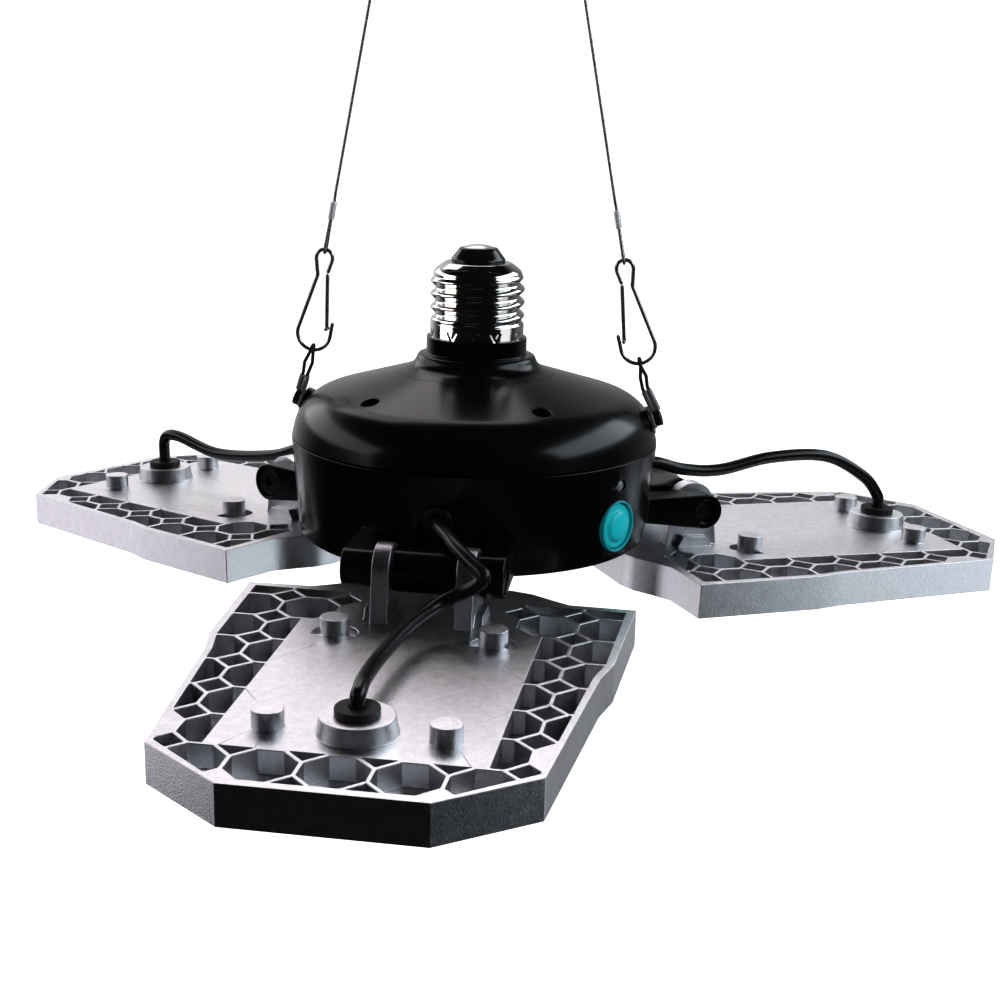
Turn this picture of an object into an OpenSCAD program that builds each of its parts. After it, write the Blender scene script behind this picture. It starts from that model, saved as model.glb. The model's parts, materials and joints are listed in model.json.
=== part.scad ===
// Fold-out garage ceiling light: screw base, round hub and three hinged lamp panels,
// hung by two safety ropes. Millimetres, +Z up, origin at the tip of the screw base.

/* [Screw base] */
// Diameter over the thread crests
base_d = 26.2; // [25.8:0.1:26.5]
// Height from the centre contact down to the plastic collar
base_l = 25.3; // [24:0.1:27]
// Thread pitch
thread_pitch = 3.63; // [3.5:0.01:3.7]

/* [Hub] */
// Largest hub diameter, at the seam
hub_d = 102.6; // [98:0.2:110]
// Height of the domed cover, from its neck step to the seam
cover_h = 23.4; // [22:0.1:27]
// Height of the lower housing, from the seam to its underside
housing_h = 27.4; // [26:0.1:32]
// Wall thickness of the plastic shells
wall_t = 2.5; // [2:0.1:3]

/* [Hinges] */
// Distance from the hub's widest radius out to each hinge line
hinge_reach = 12.3; // [12:0.1:15]
// Outside diameter of the hinge knuckles
barrel_d = 11; // [10.6:0.1:12]
// Shank diameter of the hinge bolts
bolt_d = 3; // [2.8:0.1:3.6]
// Thickness of each cast hinge arm
arm_t = 4.4; // [4:0.1:5]
// How far the opened panels point below level, in degrees
droop = 2; // [0:0.5:4]

/* [Panels] */
// Pitch of the cooling cells, which sets the panel's outline
cell_p = 15.23; // [14.8:0.01:16]
// Thickness of the panel casting
panel_t = 9.7; // [9.2:0.1:11]
// Thickness of the walls between the cells
rib_t = 1; // [0.8:0.1:1.4]
// Depth of the cells
cell_depth = 5.5; // [4:0.1:5.8]

/* [Leads] */
// Outside diameter of the three panel leads
lead_d = 3.6; // [3:0.1:3.8]

/* [Button] */
// Diameter of the moving button
button_d = 12; // [11:0.1:12.4]
// Travel of the button
button_travel = 1.2; // [0.8:0.1:1.4]

/* [Ropes and hooks] */
// Wire diameter of the snap hooks
hook_wire_d = 1.05; // [0.9:0.05:1.2]
// Diameter of the steel ropes
rope_d = 0.8; // [0.6:0.05:1]
// Length of each rope from the start of its lower ferrule to the start of its upper one
rope_l = 63; // [45:1:90]

/* [Hidden] */
eps = 0.01;
$fn = 72;

// Screw base levels
base_r = base_d / 2;
root_r = base_r - 1.35;
skirt_r = base_r - 0.1;
shell_bore_r = root_r - 0.65;
shoulder_z = -4.9;
skirt_z = -base_l + 3.8;
collar_z = -base_l;
insulator_r = 7.5;
shoulder_r = 9.2;
first_crest_z = -9.3;
tip_r = 4.5;
stem_r = 1.2;

// Hub levels and radii
hub_r = hub_d / 2;
collar_r = base_r + 0.85;
step_z = collar_z - 4.8;
step_r = collar_r + 2.35;
dome_start_r = collar_r + 3.35;
dome_start_z = step_z - 3.5;
seam_z = step_z - cover_h;
floor_z = seam_z - housing_h;
foot_r = hub_r - 2.2;
dome_slope = 0.295;
side_slope = 0.231;
dome_fillet = 7;
neck_bore_r = 8.2;
seam_gap = 0.3;

// Hinges
barrel_r = barrel_d / 2;
axis_r = hub_r + hinge_reach;
axis_z = floor_z + barrel_r + 0.3;
side_gap = 0.2;
centre_knuckle = 8.3;
arm_in = centre_knuckle + side_gap;
arm_out = arm_in + arm_t;
knuckle_in = arm_out + side_gap + 0.1;
head_knuckle_out = knuckle_in + 6.8;
nut_knuckle_out = knuckle_in + 8.2;
nut_knuckle_r = barrel_r - 0.5;
root_l = hinge_reach + 12;
root_rise = 0.155;
arm_top_r = barrel_r + 1.2;
pin_fit = 0.05;
bolt_head_r = barrel_r - 1.3;
bolt_head_h = 1.6;
head_sink = 2.1;
socket_r = bolt_head_r * 0.4;
nut_h = 2.4;
nut_sink = 1.6;
nut_corner_r = bolt_d * 1.8 / sqrt(3);
panel_angles = [-90, 30, 150];

// Panel casting, in its own frame: X outward, Y along the hinge line, Z up from the hinge axis
top_w = barrel_r + 6.46;
first_row = -7.48;
diamond_a = 0.3 * cell_p;
recess_t = 3;
under_w = -top_w - panel_t;
outline_half = [[-24, 18], [-22.4, 23.6], [-18.9, 29.3], [-16.2, 34.2]];
outline_cells = [[-1.044, 3.375], [1.471, 3.257], [2.081, 3.112], [5.627, 2.771], [6.658, 1.431]];
rim_cells = [[-0.886, 3.211], [1.471, 3.119], [2.068, 2.988], [5.515, 2.679], [6.402, 1.615],
    [6.484, 1.45]];
post_r = 3.58;
post_h = 4.3;
post_near = [16.1, 19.7];
post_far = [72.9, 19.4];
boss_at = 71.9;
boss_r = 8.2;
boss_h = 4.1;
gland_r = 5;
gland_stem_r = 3.9;
gland_h = 1.8;
board_t = 1;
chip_t = 0.6;
lens_t = 1.2;
lens_screw_r = 1.25;
lens_head_r = 2.3;
lens_head_h = 0.8;

// Leads, as [outward, sideways, up] from the hinge axis: inside the hub level, then in the panel's frame
lead_r = lead_d / 2;
tube_sides = 8;
exit_w = 9.5;
exit_u = -hinge_reach + 0.1;
lead_inside = [[exit_u - 9, 0, exit_w], [exit_u - 4, 0, exit_w], [exit_u + 1.5, 0, exit_w]];
lead_down = [[boss_at, 0, -top_w + boss_h + gland_h + 0.6], [boss_at, 0, -top_w - 5]];
lead_front_way = [[-7, 1.5, 9.6], [-2, 4.5, 9.2], [4, 8, 8.2], [9, 12.4, 6.4], [12.6, 16.4, 4.2],
    [12.4, 14.6, 1.6], [12, 9.5, -1.4], [16, 4.2, -4], [29, 0.5, -5], [47, -1.2, -4.8], [62, -0.8, -3.6],
    [69.5, -0.1, -3.4]];
lead_right_way = [[-7, 0, 10], [3, 0, 7.6], [15, 0, 7.2], [32, 0, 10.6], [51, 0, 10.6], [65, 0, 4.2],
    [71, 0, -1.8]];
lead_left_way = [[-7, 0, 9.8], [5, 0, 7], [20, 0, 2.4], [45, 0, -0.2], [64, 0, 3.1], [71, 0, 1.8]];
grommet_r = 3;
grommet_flange_r = 3.9;

// Cover screws and the inside of the hub
screw_ring_r = hub_r - 13.1;
screw_angles = [-127, -53, 53, 127];
cover_screw_r = 1.25;
cover_head_r = 2.3;
cover_head_h = 2;
boss_wall_r = 3.8;
boss_split_z = step_z - 18;
inner_floor_z = floor_z + wall_t;
cell_r = 9.2;
cell_l = 2 * (hub_r - 18.8);
cell_y = cell_r + 0.4;
cradle_t = 1.2;
cell_z = inner_floor_z + cradle_t + cell_r + 0.1;
pillar_r = 2.2;
pillar_x = cell_l / 2 + 0.9 + pillar_r;
pillar_y = 7;
board_z = seam_z - 2.2;
board_half_x = pillar_x + 3.4;
supply_wire_r = 0.9;
supply_wire_x = 5.5;
transformer_x = supply_wire_x + supply_wire_r + 2.6;
transformer_l = pillar_x - 8.6 - transformer_x;
board_half_y = 2 * cell_r + 6.6;
board_corner_r = hub_r - wall_t - 2;
driver_board_t = 1.6;
driver_top = board_z + driver_board_t;

// Button and indicator, on the wall midway between the front and right panels
button_a = -29.5;
button_r = button_d / 2;
button_z = floor_z + 10.2;
button_wall_r = foot_r + 0.8;
membrane_r = button_r + 1;
membrane_proud = 0.7;
button_proud = 1.7;
membrane_seat = button_wall_r - 1;
button_bore_r = button_r + 0.3;
button_back = 4.3;
indicator_z = seam_z - 6;
indicator_r = 1.5;
switch_board_at = foot_r - 8.6;
switch_board_t = 1.6;

// Rope anchors, hooks and ropes
cord_r = 0.5;
cord_side = cord_r + 0.08;
wire_r = hook_wire_d / 2;
rope_r = rope_d / 2;
anchor_x = hub_r - 1.6;
anchor_z = corner(0)[1] - 3.39;
anchor_screw_r = 1.5;
anchor_head_r = 2.2;
anchor_head_h = 1.9;
anchor_tilt = 20;
anchor_boss_r = 4;
lug_r = 2.6;
lug_t = 0.9;
crimp_r = 0.8;
crimp_apart = 0.72;
crimp_grip = 2.2;
crimp_start = [anchor_x + 1.1, 0, anchor_z + 2.5];
crimp_ends = [[anchor_x - 0.3, 0, anchor_z + 7.2], [anchor_x - 1.9, 0, anchor_z + 8.2]];
loop_gap = 0.4;
hook_pivots = [[anchor_x - 2.4, 0, anchor_z + 14.6], [anchor_x - 3.9, 0, anchor_z + 15.6]];
hook_tilts = [6.65, 10.4];
rope_tilts = [10.4, 11];
hook_bend_r = 4.75;
hook_eye_r = 2.3;
hook_eye_z = 26.4;
hook_waist = [1.4, 21.4];
gate_end = [-2.95, 6.6];
eye_top_z = hook_eye_z + hook_eye_r;
rope_strand = rope_r + 0.06;
ferrule_r = rope_r + 0.4;
ferrule_l = 4.8;
ferrule_from = 8.6;
thimble_r = 3.7;
thimble_bore_r = 3;
thimble_t = 1.6;
thimble_from = 8;

// ---------------------------------------------------------------- placing

module at_hinge(a) {
    rotate([0, 0, a])
        translate([axis_r, 0, axis_z])
            children();
}

module at_panel(a) {
    at_hinge(a)
        rotate([0, droop, 0])
            children();
}

// X outward through the hub wall at angle a and height z
module at_wall(a, z) {
    rotate([0, 0, a])
        translate([0, 0, z])
            children();
}

// The anchor screw's own frame on side i: origin at its seat, X outward along the screw
module at_anchor(i) {
    mirror([1 - i, 0, 0])
        translate([anchor_x, 0, anchor_z])
            rotate([0, -anchor_tilt, 0])
                children();
}

// A cylinder along X from x0 to x1
module rod_x(r, x0, x1) {
    translate([x0, 0, 0])
        rotate([0, 90, 0])
            cylinder(r = r, h = x1 - x0);
}

// A cylinder along Y from y0 to y1
module rod_y(r, y0, y1) {
    translate([0, y0, 0])
        rotate([-90, 0, 0])
            cylinder(r = r, h = y1 - y0);
}

// A turned shape along X, its profile drawn as [radius, X]
module turned_x() {
    rotate([0, 90, 0])
        rotate_extrude()
            children();
}

// A round bar between two points, with a ball at its first end
module bar(a, b, r) {
    d = b - a;
    l = norm(d);
    translate(a) {
        rotate([0, acos(d[2] / l), atan2(d[1], d[0])])
            cylinder(r = r, h = l);
        sphere(r = r);
    }
}

module bars(points, r) {
    for (i = [0:len(points) - 2])
        bar(points[i], points[i + 1], r);
    translate(points[len(points) - 1])
        sphere(r = r);
}

// Points on an arc in the XZ plane, round c, from angle a0 over a degrees in n steps
function arc_xz(c, r, a0, a, n) = [for (i = [0:n]) c + r * [cos(a0 + a * i / n), 0, sin(a0 + a * i / n)]];

function unit(v) = v / norm(v);

// A bent round bar along points; side is a direction that the points never run in
module tube(way, r, side) {
    n = len(way) - 1;
    points = [for (i = [0:n])
        let (d = unit(way[min(n, i + 1)] - way[max(0, i - 1)]),
            x = unit(cross(d, side)),
            y = cross(d, x))
            for (k = [0:tube_sides - 1])
                way[i] + r * (x * cos(k * 360 / tube_sides) + y * sin(k * 360 / tube_sides))];
    walls = [for (i = [0:n - 1], k = [0:tube_sides - 1])
        let (a = i * tube_sides + k, b = i * tube_sides + (k + 1) % tube_sides)
            each [[a, b, b + tube_sides], [a, b + tube_sides, a + tube_sides]]];
    first = [for (k = [0:tube_sides - 1]) tube_sides - 1 - k];
    last = [for (k = [0:tube_sides - 1]) n * tube_sides + k];
    polyhedron(points = points, faces = concat(walls, [first, last]), convexity = 6);
}

// ---------------------------------------------------------------- screw base

module contact_tip() {
    color("silver") {
        intersection() {
            translate([0, 0, -12])
                sphere(r = 12);
            translate([0, 0, -0.85])
                cylinder(r = tip_r, h = 1);
        }
        translate([0, 0, -10])
            cylinder(r = stem_r, h = 9.5);
    }
}

module base_insulator() {
    color("black")
        rotate_extrude()
            polygon([[stem_r, -0.85], [5.1, -0.85], [insulator_r, shoulder_z + 0.9],
                [insulator_r, shoulder_z], [insulator_r - 0.6, shoulder_z], [insulator_r - 0.6, -9.5],
                [stem_r, -9.5]]);
}

// Height of the rolled thread over its mean, as a share, fading out at both ends
function fade(z) = min(1, max(0, (shoulder_z - 3.2 - z) / 1.6)) * min(1, max(0, (z - skirt_z) / 1.6));
mid_r = (root_r + base_r) / 2;
function mean_r(z) = z > shoulder_z - 3.2
    ? shoulder_r + (12.3 - shoulder_r) * sin(90 * min(1, (shoulder_z - z) / 3.2))
    : z < skirt_z ? skirt_r : mid_r - 0.05 + (skirt_r - mid_r) * max(0, 1 - (z - skirt_z) / 1.6);
function shell_r(z, a) =
    mean_r(z) + fade(z) * (base_r - root_r) / 2 * cos(360 * (z - first_crest_z) / thread_pitch - a - 90);
function shell_point(z, a) = [shell_r(z, a) * cos(a), shell_r(z, a) * sin(a), z];

module screw_shell() {
    turns = 36;
    levels = 42;
    z_end = collar_z - 2.2;
    zs = [for (i = [0:levels]) shoulder_z + (z_end - shoulder_z) * i / levels];
    points = [for (z = zs, i = [0:turns - 1]) shell_point(z, i * 360 / turns)];
    sides = [for (k = [0:levels - 1], i = [0:turns - 1])
        let (a = k * turns + i, b = k * turns + (i + 1) % turns)
            each [[a, b, b + turns], [a, b + turns, a + turns]]];
    top = [for (i = [0:turns - 1]) turns - 1 - i];
    bottom = [for (i = [0:turns - 1]) levels * turns + i];
    color("silver")
        difference() {
            polyhedron(points = points, faces = concat(sides, [top, bottom]), convexity = 8);
            translate([0, 0, z_end - 1])
                cylinder(r = shell_bore_r, h = shoulder_z - 1 - z_end);
            translate([0, 0, shoulder_z - 4])
                cylinder(r = insulator_r - 0.5, h = 5);
        }
}

module base_wires() {
    color("firebrick") {
        translate([0, 0, driver_top])
            cylinder(r = supply_wire_r, h = -10.2 - driver_top);
        translate([supply_wire_x, 0, driver_top])
            cylinder(r = supply_wire_r, h = -12 - driver_top);
    }
}

// ---------------------------------------------------------------- hub shells

// The corner where the dome's slope meets the cover's side, both inset by t
function corner(t) =
    let (z0 = dome_start_z - t * 1.043,
        r0 = dome_start_r,
        rs = hub_r - t * 1.026,
        k = dome_slope * side_slope,
        z = (z0 - dome_slope * (rs - r0) - k * seam_z) / (1 - k))
    [rs - side_slope * (z - seam_z), z];

module cover_outline(t) {
    c = corner(t);
    f = dome_fillet - t;
    u1 = [-1, dome_slope] / norm([1, dome_slope]);
    u2 = [side_slope, -1] / norm([1, side_slope]);
    half = acos(u1 * u2) / 2;
    reach = f / tan(half);
    mid = (u1 + u2) / norm(u1 + u2);
    foot = hub_r - t * 1.026 + side_slope * (t - seam_gap / 2);
    intersection() {
        translate(c + mid * f / sin(half))
            circle(r = f);
        translate([0, seam_z + seam_gap / 2 - t])
            square([hub_r, cover_h]);
    }
    polygon([[0, dome_start_z - t * 1.043], [dome_start_r, dome_start_z - t * 1.043], c + u1 * reach,
        c + u2 * reach, [foot, seam_z + seam_gap / 2 - t], [0, seam_z + seam_gap / 2 - t]]);
}

module cover_solid() {
    rotate_extrude()
        cover_outline(0);
    rotate_extrude()
        polygon([[0, step_z], [step_r, step_z], [dome_start_r, step_z - 2.3],
            [dome_start_r, dome_start_z - 1], [0, dome_start_z - 1]]);
    translate([0, 0, step_z - 1])
        cylinder(r = collar_r, h = collar_z - step_z + 1);
}

module top_cover() {
    color("dimgray")
        difference() {
            union() {
                difference() {
                    cover_solid();
                    rotate_extrude()
                        cover_outline(wall_t);
                    translate([0, 0, collar_z - 2.3])
                        cylinder(r = skirt_r + 0.02, h = 3);
                }
                translate([0, 0, dome_start_z - wall_t])
                    cylinder(r = shell_bore_r - 0.05, h = -10 - dome_start_z + wall_t);
                for (i = [0, 1])
                    at_anchor(i)
                        rod_x(anchor_boss_r, -8, 0);
                intersection() {
                    cover_solid();
                    for (a = screw_angles)
                        rotate([0, 0, a])
                            translate([screw_ring_r, 0, boss_split_z + 0.1])
                                cylinder(r = boss_wall_r, h = 20);
                }
            }
            translate([0, 0, dome_start_z - 6])
                cylinder(r = neck_bore_r, h = 60);
            for (a = screw_angles)
                rotate([0, 0, a])
                    translate([screw_ring_r, 0, 0]) {
                        translate([0, 0, boss_split_z - 1])
                            cylinder(r = cover_screw_r + 0.1, h = 20);
                        translate([0, 0, boss_split_z + 3])
                            cylinder(r = cover_head_r + 0.2, h = 20);
                    }
            for (i = [0, 1])
                at_anchor(i)
                    rod_x(anchor_screw_r + 0.02, -7, 3);
        }
}

function wall_at(z) = hub_r - (hub_r - foot_r) * (seam_z - z) / housing_h;

// A hinge knuckle whose underside rises toward the hub
module knuckle(y0, y1, r) {
    translate([0, y0, 0])
        rotate([-90, 0, 0]) {
            cylinder(r = r, h = y1 - y0);
            linear_extrude(y1 - y0)
                polygon([[0, -r], [-root_l, -r], [-root_l, r - root_l * root_rise], [0, r]]);
        }
}

module lower_housing() {
    lip_r = hub_r - wall_t * 1.03 - side_slope * 2 - 0.15;
    color("dimgray")
        difference() {
            union() {
                difference() {
                    union() {
                        rotate_extrude()
                            polygon([[0, floor_z], [foot_r - 1.2, floor_z], [foot_r, floor_z + 1.2],
                                [hub_r, seam_z - seam_gap / 2], [0, seam_z - seam_gap / 2]]);
                        for (a = panel_angles)
                            at_hinge(a) {
                                knuckle(-centre_knuckle, centre_knuckle, barrel_r);
                                knuckle(knuckle_in, head_knuckle_out, barrel_r);
                                knuckle(-nut_knuckle_out, -knuckle_in, nut_knuckle_r);
                            }
                    }
                    rotate_extrude()
                        polygon([[0, inner_floor_z], [foot_r - wall_t, inner_floor_z],
                            [hub_r - wall_t, seam_z + 1], [0, seam_z + 1]]);
                }
                rotate_extrude()
                    polygon([[lip_r - 1.7, seam_z - 4], [hub_r - wall_t + 0.2, seam_z - 4],
                        [hub_r - wall_t + 0.2, seam_z - seam_gap], [lip_r, seam_z - seam_gap],
                        [lip_r, seam_z + 2], [lip_r - 1.7, seam_z + 2]]);
                for (a = screw_angles)
                    rotate([0, 0, a])
                        translate([screw_ring_r, 0, inner_floor_z - eps])
                            cylinder(r = boss_wall_r, h = boss_split_z - inner_floor_z);
                rotate([0, 0, button_a])
                    for (s = [-1, 1])
                        translate([switch_board_at - 0.4, s > 0 ? 7.1 : -8.6, inner_floor_z - eps])
                            cube([3.4, 1.5, 12]);
            }
            for (a = panel_angles)
                at_hinge(a) {
                    rod_y(bolt_d / 2 + pin_fit, -nut_knuckle_out - 1, head_knuckle_out + 1);
                    rod_y(bolt_head_r + 0.2, head_knuckle_out - head_sink, head_knuckle_out + 1);
                    rod_y(nut_corner_r + 0.1, -nut_knuckle_out - 1, -nut_knuckle_out + nut_sink);
                    translate([0, -nut_knuckle_out + nut_sink + nut_h, 0])
                        rotate([90, 0, 0])
                            cylinder(r = nut_corner_r + 0.05, h = nut_h + 1, $fn = 6);
                    translate([0, 0, exit_w])
                        rod_x(grommet_r, exit_u - 5, exit_u + 5);
                }
            for (a = screw_angles)
                rotate([0, 0, a])
                    translate([screw_ring_r, 0, boss_split_z - 9])
                        cylinder(r = cover_screw_r, h = 10);
            at_wall(button_a, button_z) {
                rod_x(button_bore_r, switch_board_at + 3, hub_r + 2);
                rod_x(membrane_r + 0.05, membrane_seat, hub_r + 2);
            }
            at_wall(button_a, indicator_z)
                rod_x(indicator_r + 0.05, switch_board_at + 3, hub_r + 2);
            for (i = [0:11])
                rotate([0, 0, 15 + i * 30])
                    translate([24, -1, floor_z - 1])
                        cube([9, 2, wall_t + cradle_t + 3]);
        }
}

module cover_screws() {
    color("gray")
        for (a = screw_angles)
            rotate([0, 0, a])
                translate([screw_ring_r, 0, boss_split_z + 3])
                    difference() {
                        union() {
                            cylinder(r = cover_head_r, h = cover_head_h);
                            translate([0, 0, -11])
                                cylinder(r = cover_screw_r, h = 11.5);
                        }
                        for (q = [0, 90])
                            rotate([0, 0, q])
                                translate([-1.4, -0.3, cover_head_h - 0.9])
                                    cube([2.8, 0.6, 1]);
                    }
}

// ---------------------------------------------------------------- button and indicator

module button_membrane() {
    color("turquoise")
        at_wall(button_a, button_z)
            difference() {
                rod_x(membrane_r, membrane_seat, button_wall_r + membrane_proud);
                rod_x(button_bore_r, membrane_seat - 1, button_wall_r + 2);
            }
}

module push_button() {
    crown_r = 2 * button_r;
    back = button_wall_r - button_back;
    color("turquoise")
        at_wall(button_a, button_z)
            turned_x() {
                polygon([[0, back], [button_r + 0.9, back], [button_r + 0.9, back + 0.8],
                    [button_r - 0.6, back + 0.8], [button_r - 0.6, back + 1.5], [button_r, back + 1.5],
                    [button_r, back + 4], [0, back + 4]]);
                intersection() {
                    translate([0, button_wall_r + button_proud - crown_r])
                        circle(r = crown_r);
                    translate([0, back + 3])
                        square([button_r, 10]);
                }
            }
}

module button_switch() {
    face = switch_board_at + switch_board_t;
    color("black")
        at_wall(button_a, button_z) {
            translate([face, -3, -3])
                cube([1.2, 6, 6]);
            rod_x(1.7, face + 1, button_wall_r - button_back - button_travel - 0.1);
        }
}

module switch_board() {
    color("darkgreen")
        rotate([0, 0, button_a])
            translate([switch_board_at, -7, inner_floor_z + 0.5])
                cube([switch_board_t, 14, indicator_z + 3 - inner_floor_z]);
}

module indicator_led() {
    tip = wall_at(indicator_z) + 0.2;
    crown_r = 1.9;
    color("white")
        at_wall(button_a, indicator_z)
            turned_x()
                intersection() {
                    translate([0, switch_board_at + switch_board_t])
                        square([indicator_r, 12]);
                    union() {
                        square([indicator_r, tip - 0.9]);
                        translate([0, tip - crown_r])
                            circle(r = crown_r);
                    }
                }
}

// ---------------------------------------------------------------- inside the hub

module battery_cells() {
    color("royalblue")
        for (s = [-1, 1])
            translate([0, s * cell_y, cell_z]) {
                rod_x(cell_r, -cell_l / 2, cell_l / 2 - 1);
                rod_x(3, cell_l / 2 - 1.5, cell_l / 2);
            }
}

module battery_cradle() {
    color("dimgray")
        difference() {
            union() {
                translate([-cell_l / 2 - 1.5, -cell_y - cell_r, inner_floor_z])
                    cube([cell_l + 3, 2 * (cell_y + cell_r), cradle_t]);
                for (s = [-1, 1]) {
                    translate([s * (cell_l / 2 + 0.95) - 0.85, -15, inner_floor_z])
                        cube([1.7, 30, cell_r + 4]);
                    for (t = [-1, 1])
                        translate([s * pillar_x, t * pillar_y, inner_floor_z])
                            cylinder(r = pillar_r, h = board_z - inner_floor_z);
                }
            }
            for (s = [-1, 1], t = [-1, 1])
                translate([s * pillar_x, t * pillar_y, board_z - 7])
                    cylinder(r = 0.9, h = 8);
        }
}

module driver_board() {
    color("darkgreen")
        difference() {
            intersection() {
                translate([-board_half_x, -board_half_y, board_z])
                    cube([2 * board_half_x, 2 * board_half_y, driver_board_t]);
                translate([0, 0, board_z - 1])
                    cylinder(r = board_corner_r, h = driver_board_t + 2);
            }
            for (s = [-1, 1], t = [-1, 1])
                translate([s * pillar_x, t * pillar_y, board_z - 1])
                    cylinder(r = 1, h = 5);
        }
}

module board_screws() {
    color("gray")
        for (s = [-1, 1], t = [-1, 1])
            translate([s * pillar_x, t * pillar_y, driver_top]) {
                cylinder(r = 1.9, h = 1.4);
                translate([0, 0, -7.5])
                    cylinder(r = 0.9, h = 8);
            }
}

module driver_transformer() {
    color("gold")
        translate([transformer_x, -8, driver_top]) {
            cube([transformer_l, 16, 3]);
            translate([3, 2, 2.9])
                cube([transformer_l - 6, 12, 7.2]);
            translate([0, 0, 10])
                cube([transformer_l, 16, 2]);
        }
}

module driver_capacitors() {
    color("darkslategray") {
        translate([18.6 - pillar_x, 8, driver_top])
            cylinder(r = 5, h = 12);
        translate([18.6 - pillar_x, -9, driver_top])
            cylinder(r = 4, h = 11);
    }
}

module driver_chips() {
    color("black") {
        translate([5 - pillar_x, -3, driver_top])
            cube([6, 5, 1.6]);
        translate([pillar_x - 7, -4, driver_top])
            cube([4, 8, 1.2]);
        translate([-6, 12, driver_top])
            cube([9, 6, 4]);
    }
}

module lead_grommets() {
    flange_at = wall_at(axis_z + exit_w + grommet_flange_r) - axis_r + 0.05;
    color("black")
        for (a = panel_angles)
            at_hinge(a)
                translate([0, 0, exit_w])
                    difference() {
                        union() {
                            rod_x(grommet_r - 0.02, exit_u - 3.5, flange_at + 1);
                            rod_x(grommet_flange_r, flange_at, flange_at + 1.3);
                        }
                        rod_x(lead_r + 0.05, exit_u - 5, exit_u + 8);
                    }
}

// ---------------------------------------------------------------- hinge hardware

module hinge_bolts() {
    seat = head_knuckle_out - head_sink;
    color("gray")
        for (a = panel_angles)
            at_hinge(a)
                difference() {
                    union() {
                        rod_y(bolt_d / 2, -nut_knuckle_out + nut_sink + 0.2, seat + 0.5);
                        rod_y(bolt_head_r, seat, seat + bolt_head_h);
                    }
                    translate([0, seat + bolt_head_h - 1, 0])
                        rotate([-90, 0, 0])
                            cylinder(r = socket_r, h = 2, $fn = 6);
                }
}

module hinge_nuts() {
    color("gray")
        for (a = panel_angles)
            at_hinge(a)
                difference() {
                    translate([0, -nut_knuckle_out + nut_sink + nut_h, 0])
                        rotate([90, 0, 0])
                            cylinder(r = nut_corner_r, h = nut_h - 0.3, $fn = 6);
                    rod_y(bolt_d / 2, -nut_knuckle_out - 1, nut_knuckle_out);
                }
}

// ---------------------------------------------------------------- rope anchors, hooks and ropes

module anchor_screws() {
    head_from = lug_t + anchor_head_h;
    color("gray")
        for (i = [0, 1])
            at_anchor(i)
                difference() {
                    union() {
                        rod_x(anchor_screw_r, -6.5, lug_t + 1);
                        rod_x(anchor_head_r, lug_t, head_from);
                    }
                    for (q = [0, 90])
                        rotate([q, 0, 0])
                            translate([head_from - 1, -1.4, -0.3])
                                cube([2, 2.8, 0.6]);
                }
}

// Sideways from the crimp's middle to each of its two cords, on side i
function crimp_side(i) = crimp_apart * unit(cross(crimp_ends[i] - crimp_start, [0, 1, 0]));

module anchor_lugs() {
    color("black")
        for (i = [0, 1]) {
            along = unit(crimp_ends[i] - crimp_start);
            difference() {
                union() {
                    at_anchor(i)
                        rod_x(lug_r, 0, lug_t);
                    mirror([1 - i, 0, 0])
                        for (s = [-1, 1])
                            bar(crimp_start + s * crimp_side(i), crimp_ends[i] + s * crimp_side(i), crimp_r);
                }
                at_anchor(i) {
                    rod_x(anchor_screw_r + 0.05, -1, lug_t + 1);
                    rod_x(anchor_head_r + 0.1, lug_t, lug_t + 3);
                }
                mirror([1 - i, 0, 0])
                    for (s = [-1, 1])
                        translate(s * crimp_side(i))
                            bar(crimp_ends[i] - along * (crimp_grip + 0.2), crimp_ends[i] + along * 3,
                                cord_r + 0.01);
            }
        }
}

// i is 0 for the left side and 1 for the right side
module cord_loop(i) {
    arch = wire_r + loop_gap + cord_r;
    pivot = hook_pivots[i];
    end = crimp_ends[i];
    d = unit(pivot - end);
    along = unit(end - crimp_start);
    side = crimp_side(i);
    y = [0, 1, 0];
    middle = (end + pivot) / 2;
    spread = side * 1.3 + y * 0.75;
    round_top = [for (a = [0:22.5:180]) pivot + arch * (-y * cos(a) + d * sin(a))];
    mirror([1 - i, 0, 0])
        tube(concat([end - along * crimp_grip - side, end - side, end + along * 0.8 - side, middle - spread],
            round_top,
            [middle + spread, end + along * 0.8 + side, end + side, end - along * crimp_grip + side]),
            cord_r, cross(d, y));
}

module cord_loop_left() {
    color("black")
        cord_loop(0);
}

module cord_loop_right() {
    color("black")
        cord_loop(1);
}

// The hook's own frame: origin where the cord loop pulls, X away from the hub's centre, Z toward the rope
module at_hook(i) {
    mirror([1 - i, 0, 0])
        translate(hook_pivots[i])
            rotate([0, -hook_tilts[i], 0])
                children();
}

module snap_hook(i) {
    bend = [0, 0, hook_bend_r];
    out = 13;
    at_hook(i)
        tube(concat([bend + [-hook_bend_r - 0.25, 0, 3.4]], arc_xz(bend, hook_bend_r, 180, 180 + out, 16),
            [[hook_waist[0] - 0.6, 0, hook_waist[1]], [hook_eye_r - 0.6, 0, hook_eye_z - 0.4]],
            arc_xz([-0.6, 0, hook_eye_z], hook_eye_r, 0, 180, 10),
            [[-hook_eye_r - 0.6, 0, hook_eye_z - 0.4], [-hook_waist[0] - 0.8, 0, hook_waist[1] + 1.5]]),
            wire_r, [0, 1, 0]);
}

module snap_hook_left() {
    color("silver")
        snap_hook(0);
}

module snap_hook_right() {
    color("silver")
        snap_hook(1);
}

gate_top = [-hook_waist[0] - 0.05, hook_waist[1] + 1.5 - hook_wire_d - 0.3];

module hook_gate(i) {
    at_hook(i)
        translate([-0.6, 0, 0]) {
            bars([[gate_top[0], 0, gate_top[1]], [gate_end[0], 0, gate_end[1]]], wire_r);
            translate([gate_end[0], 0, gate_end[1]])
                rod_y(wire_r + 0.1, -1.2, 1.2);
        }
}

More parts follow.
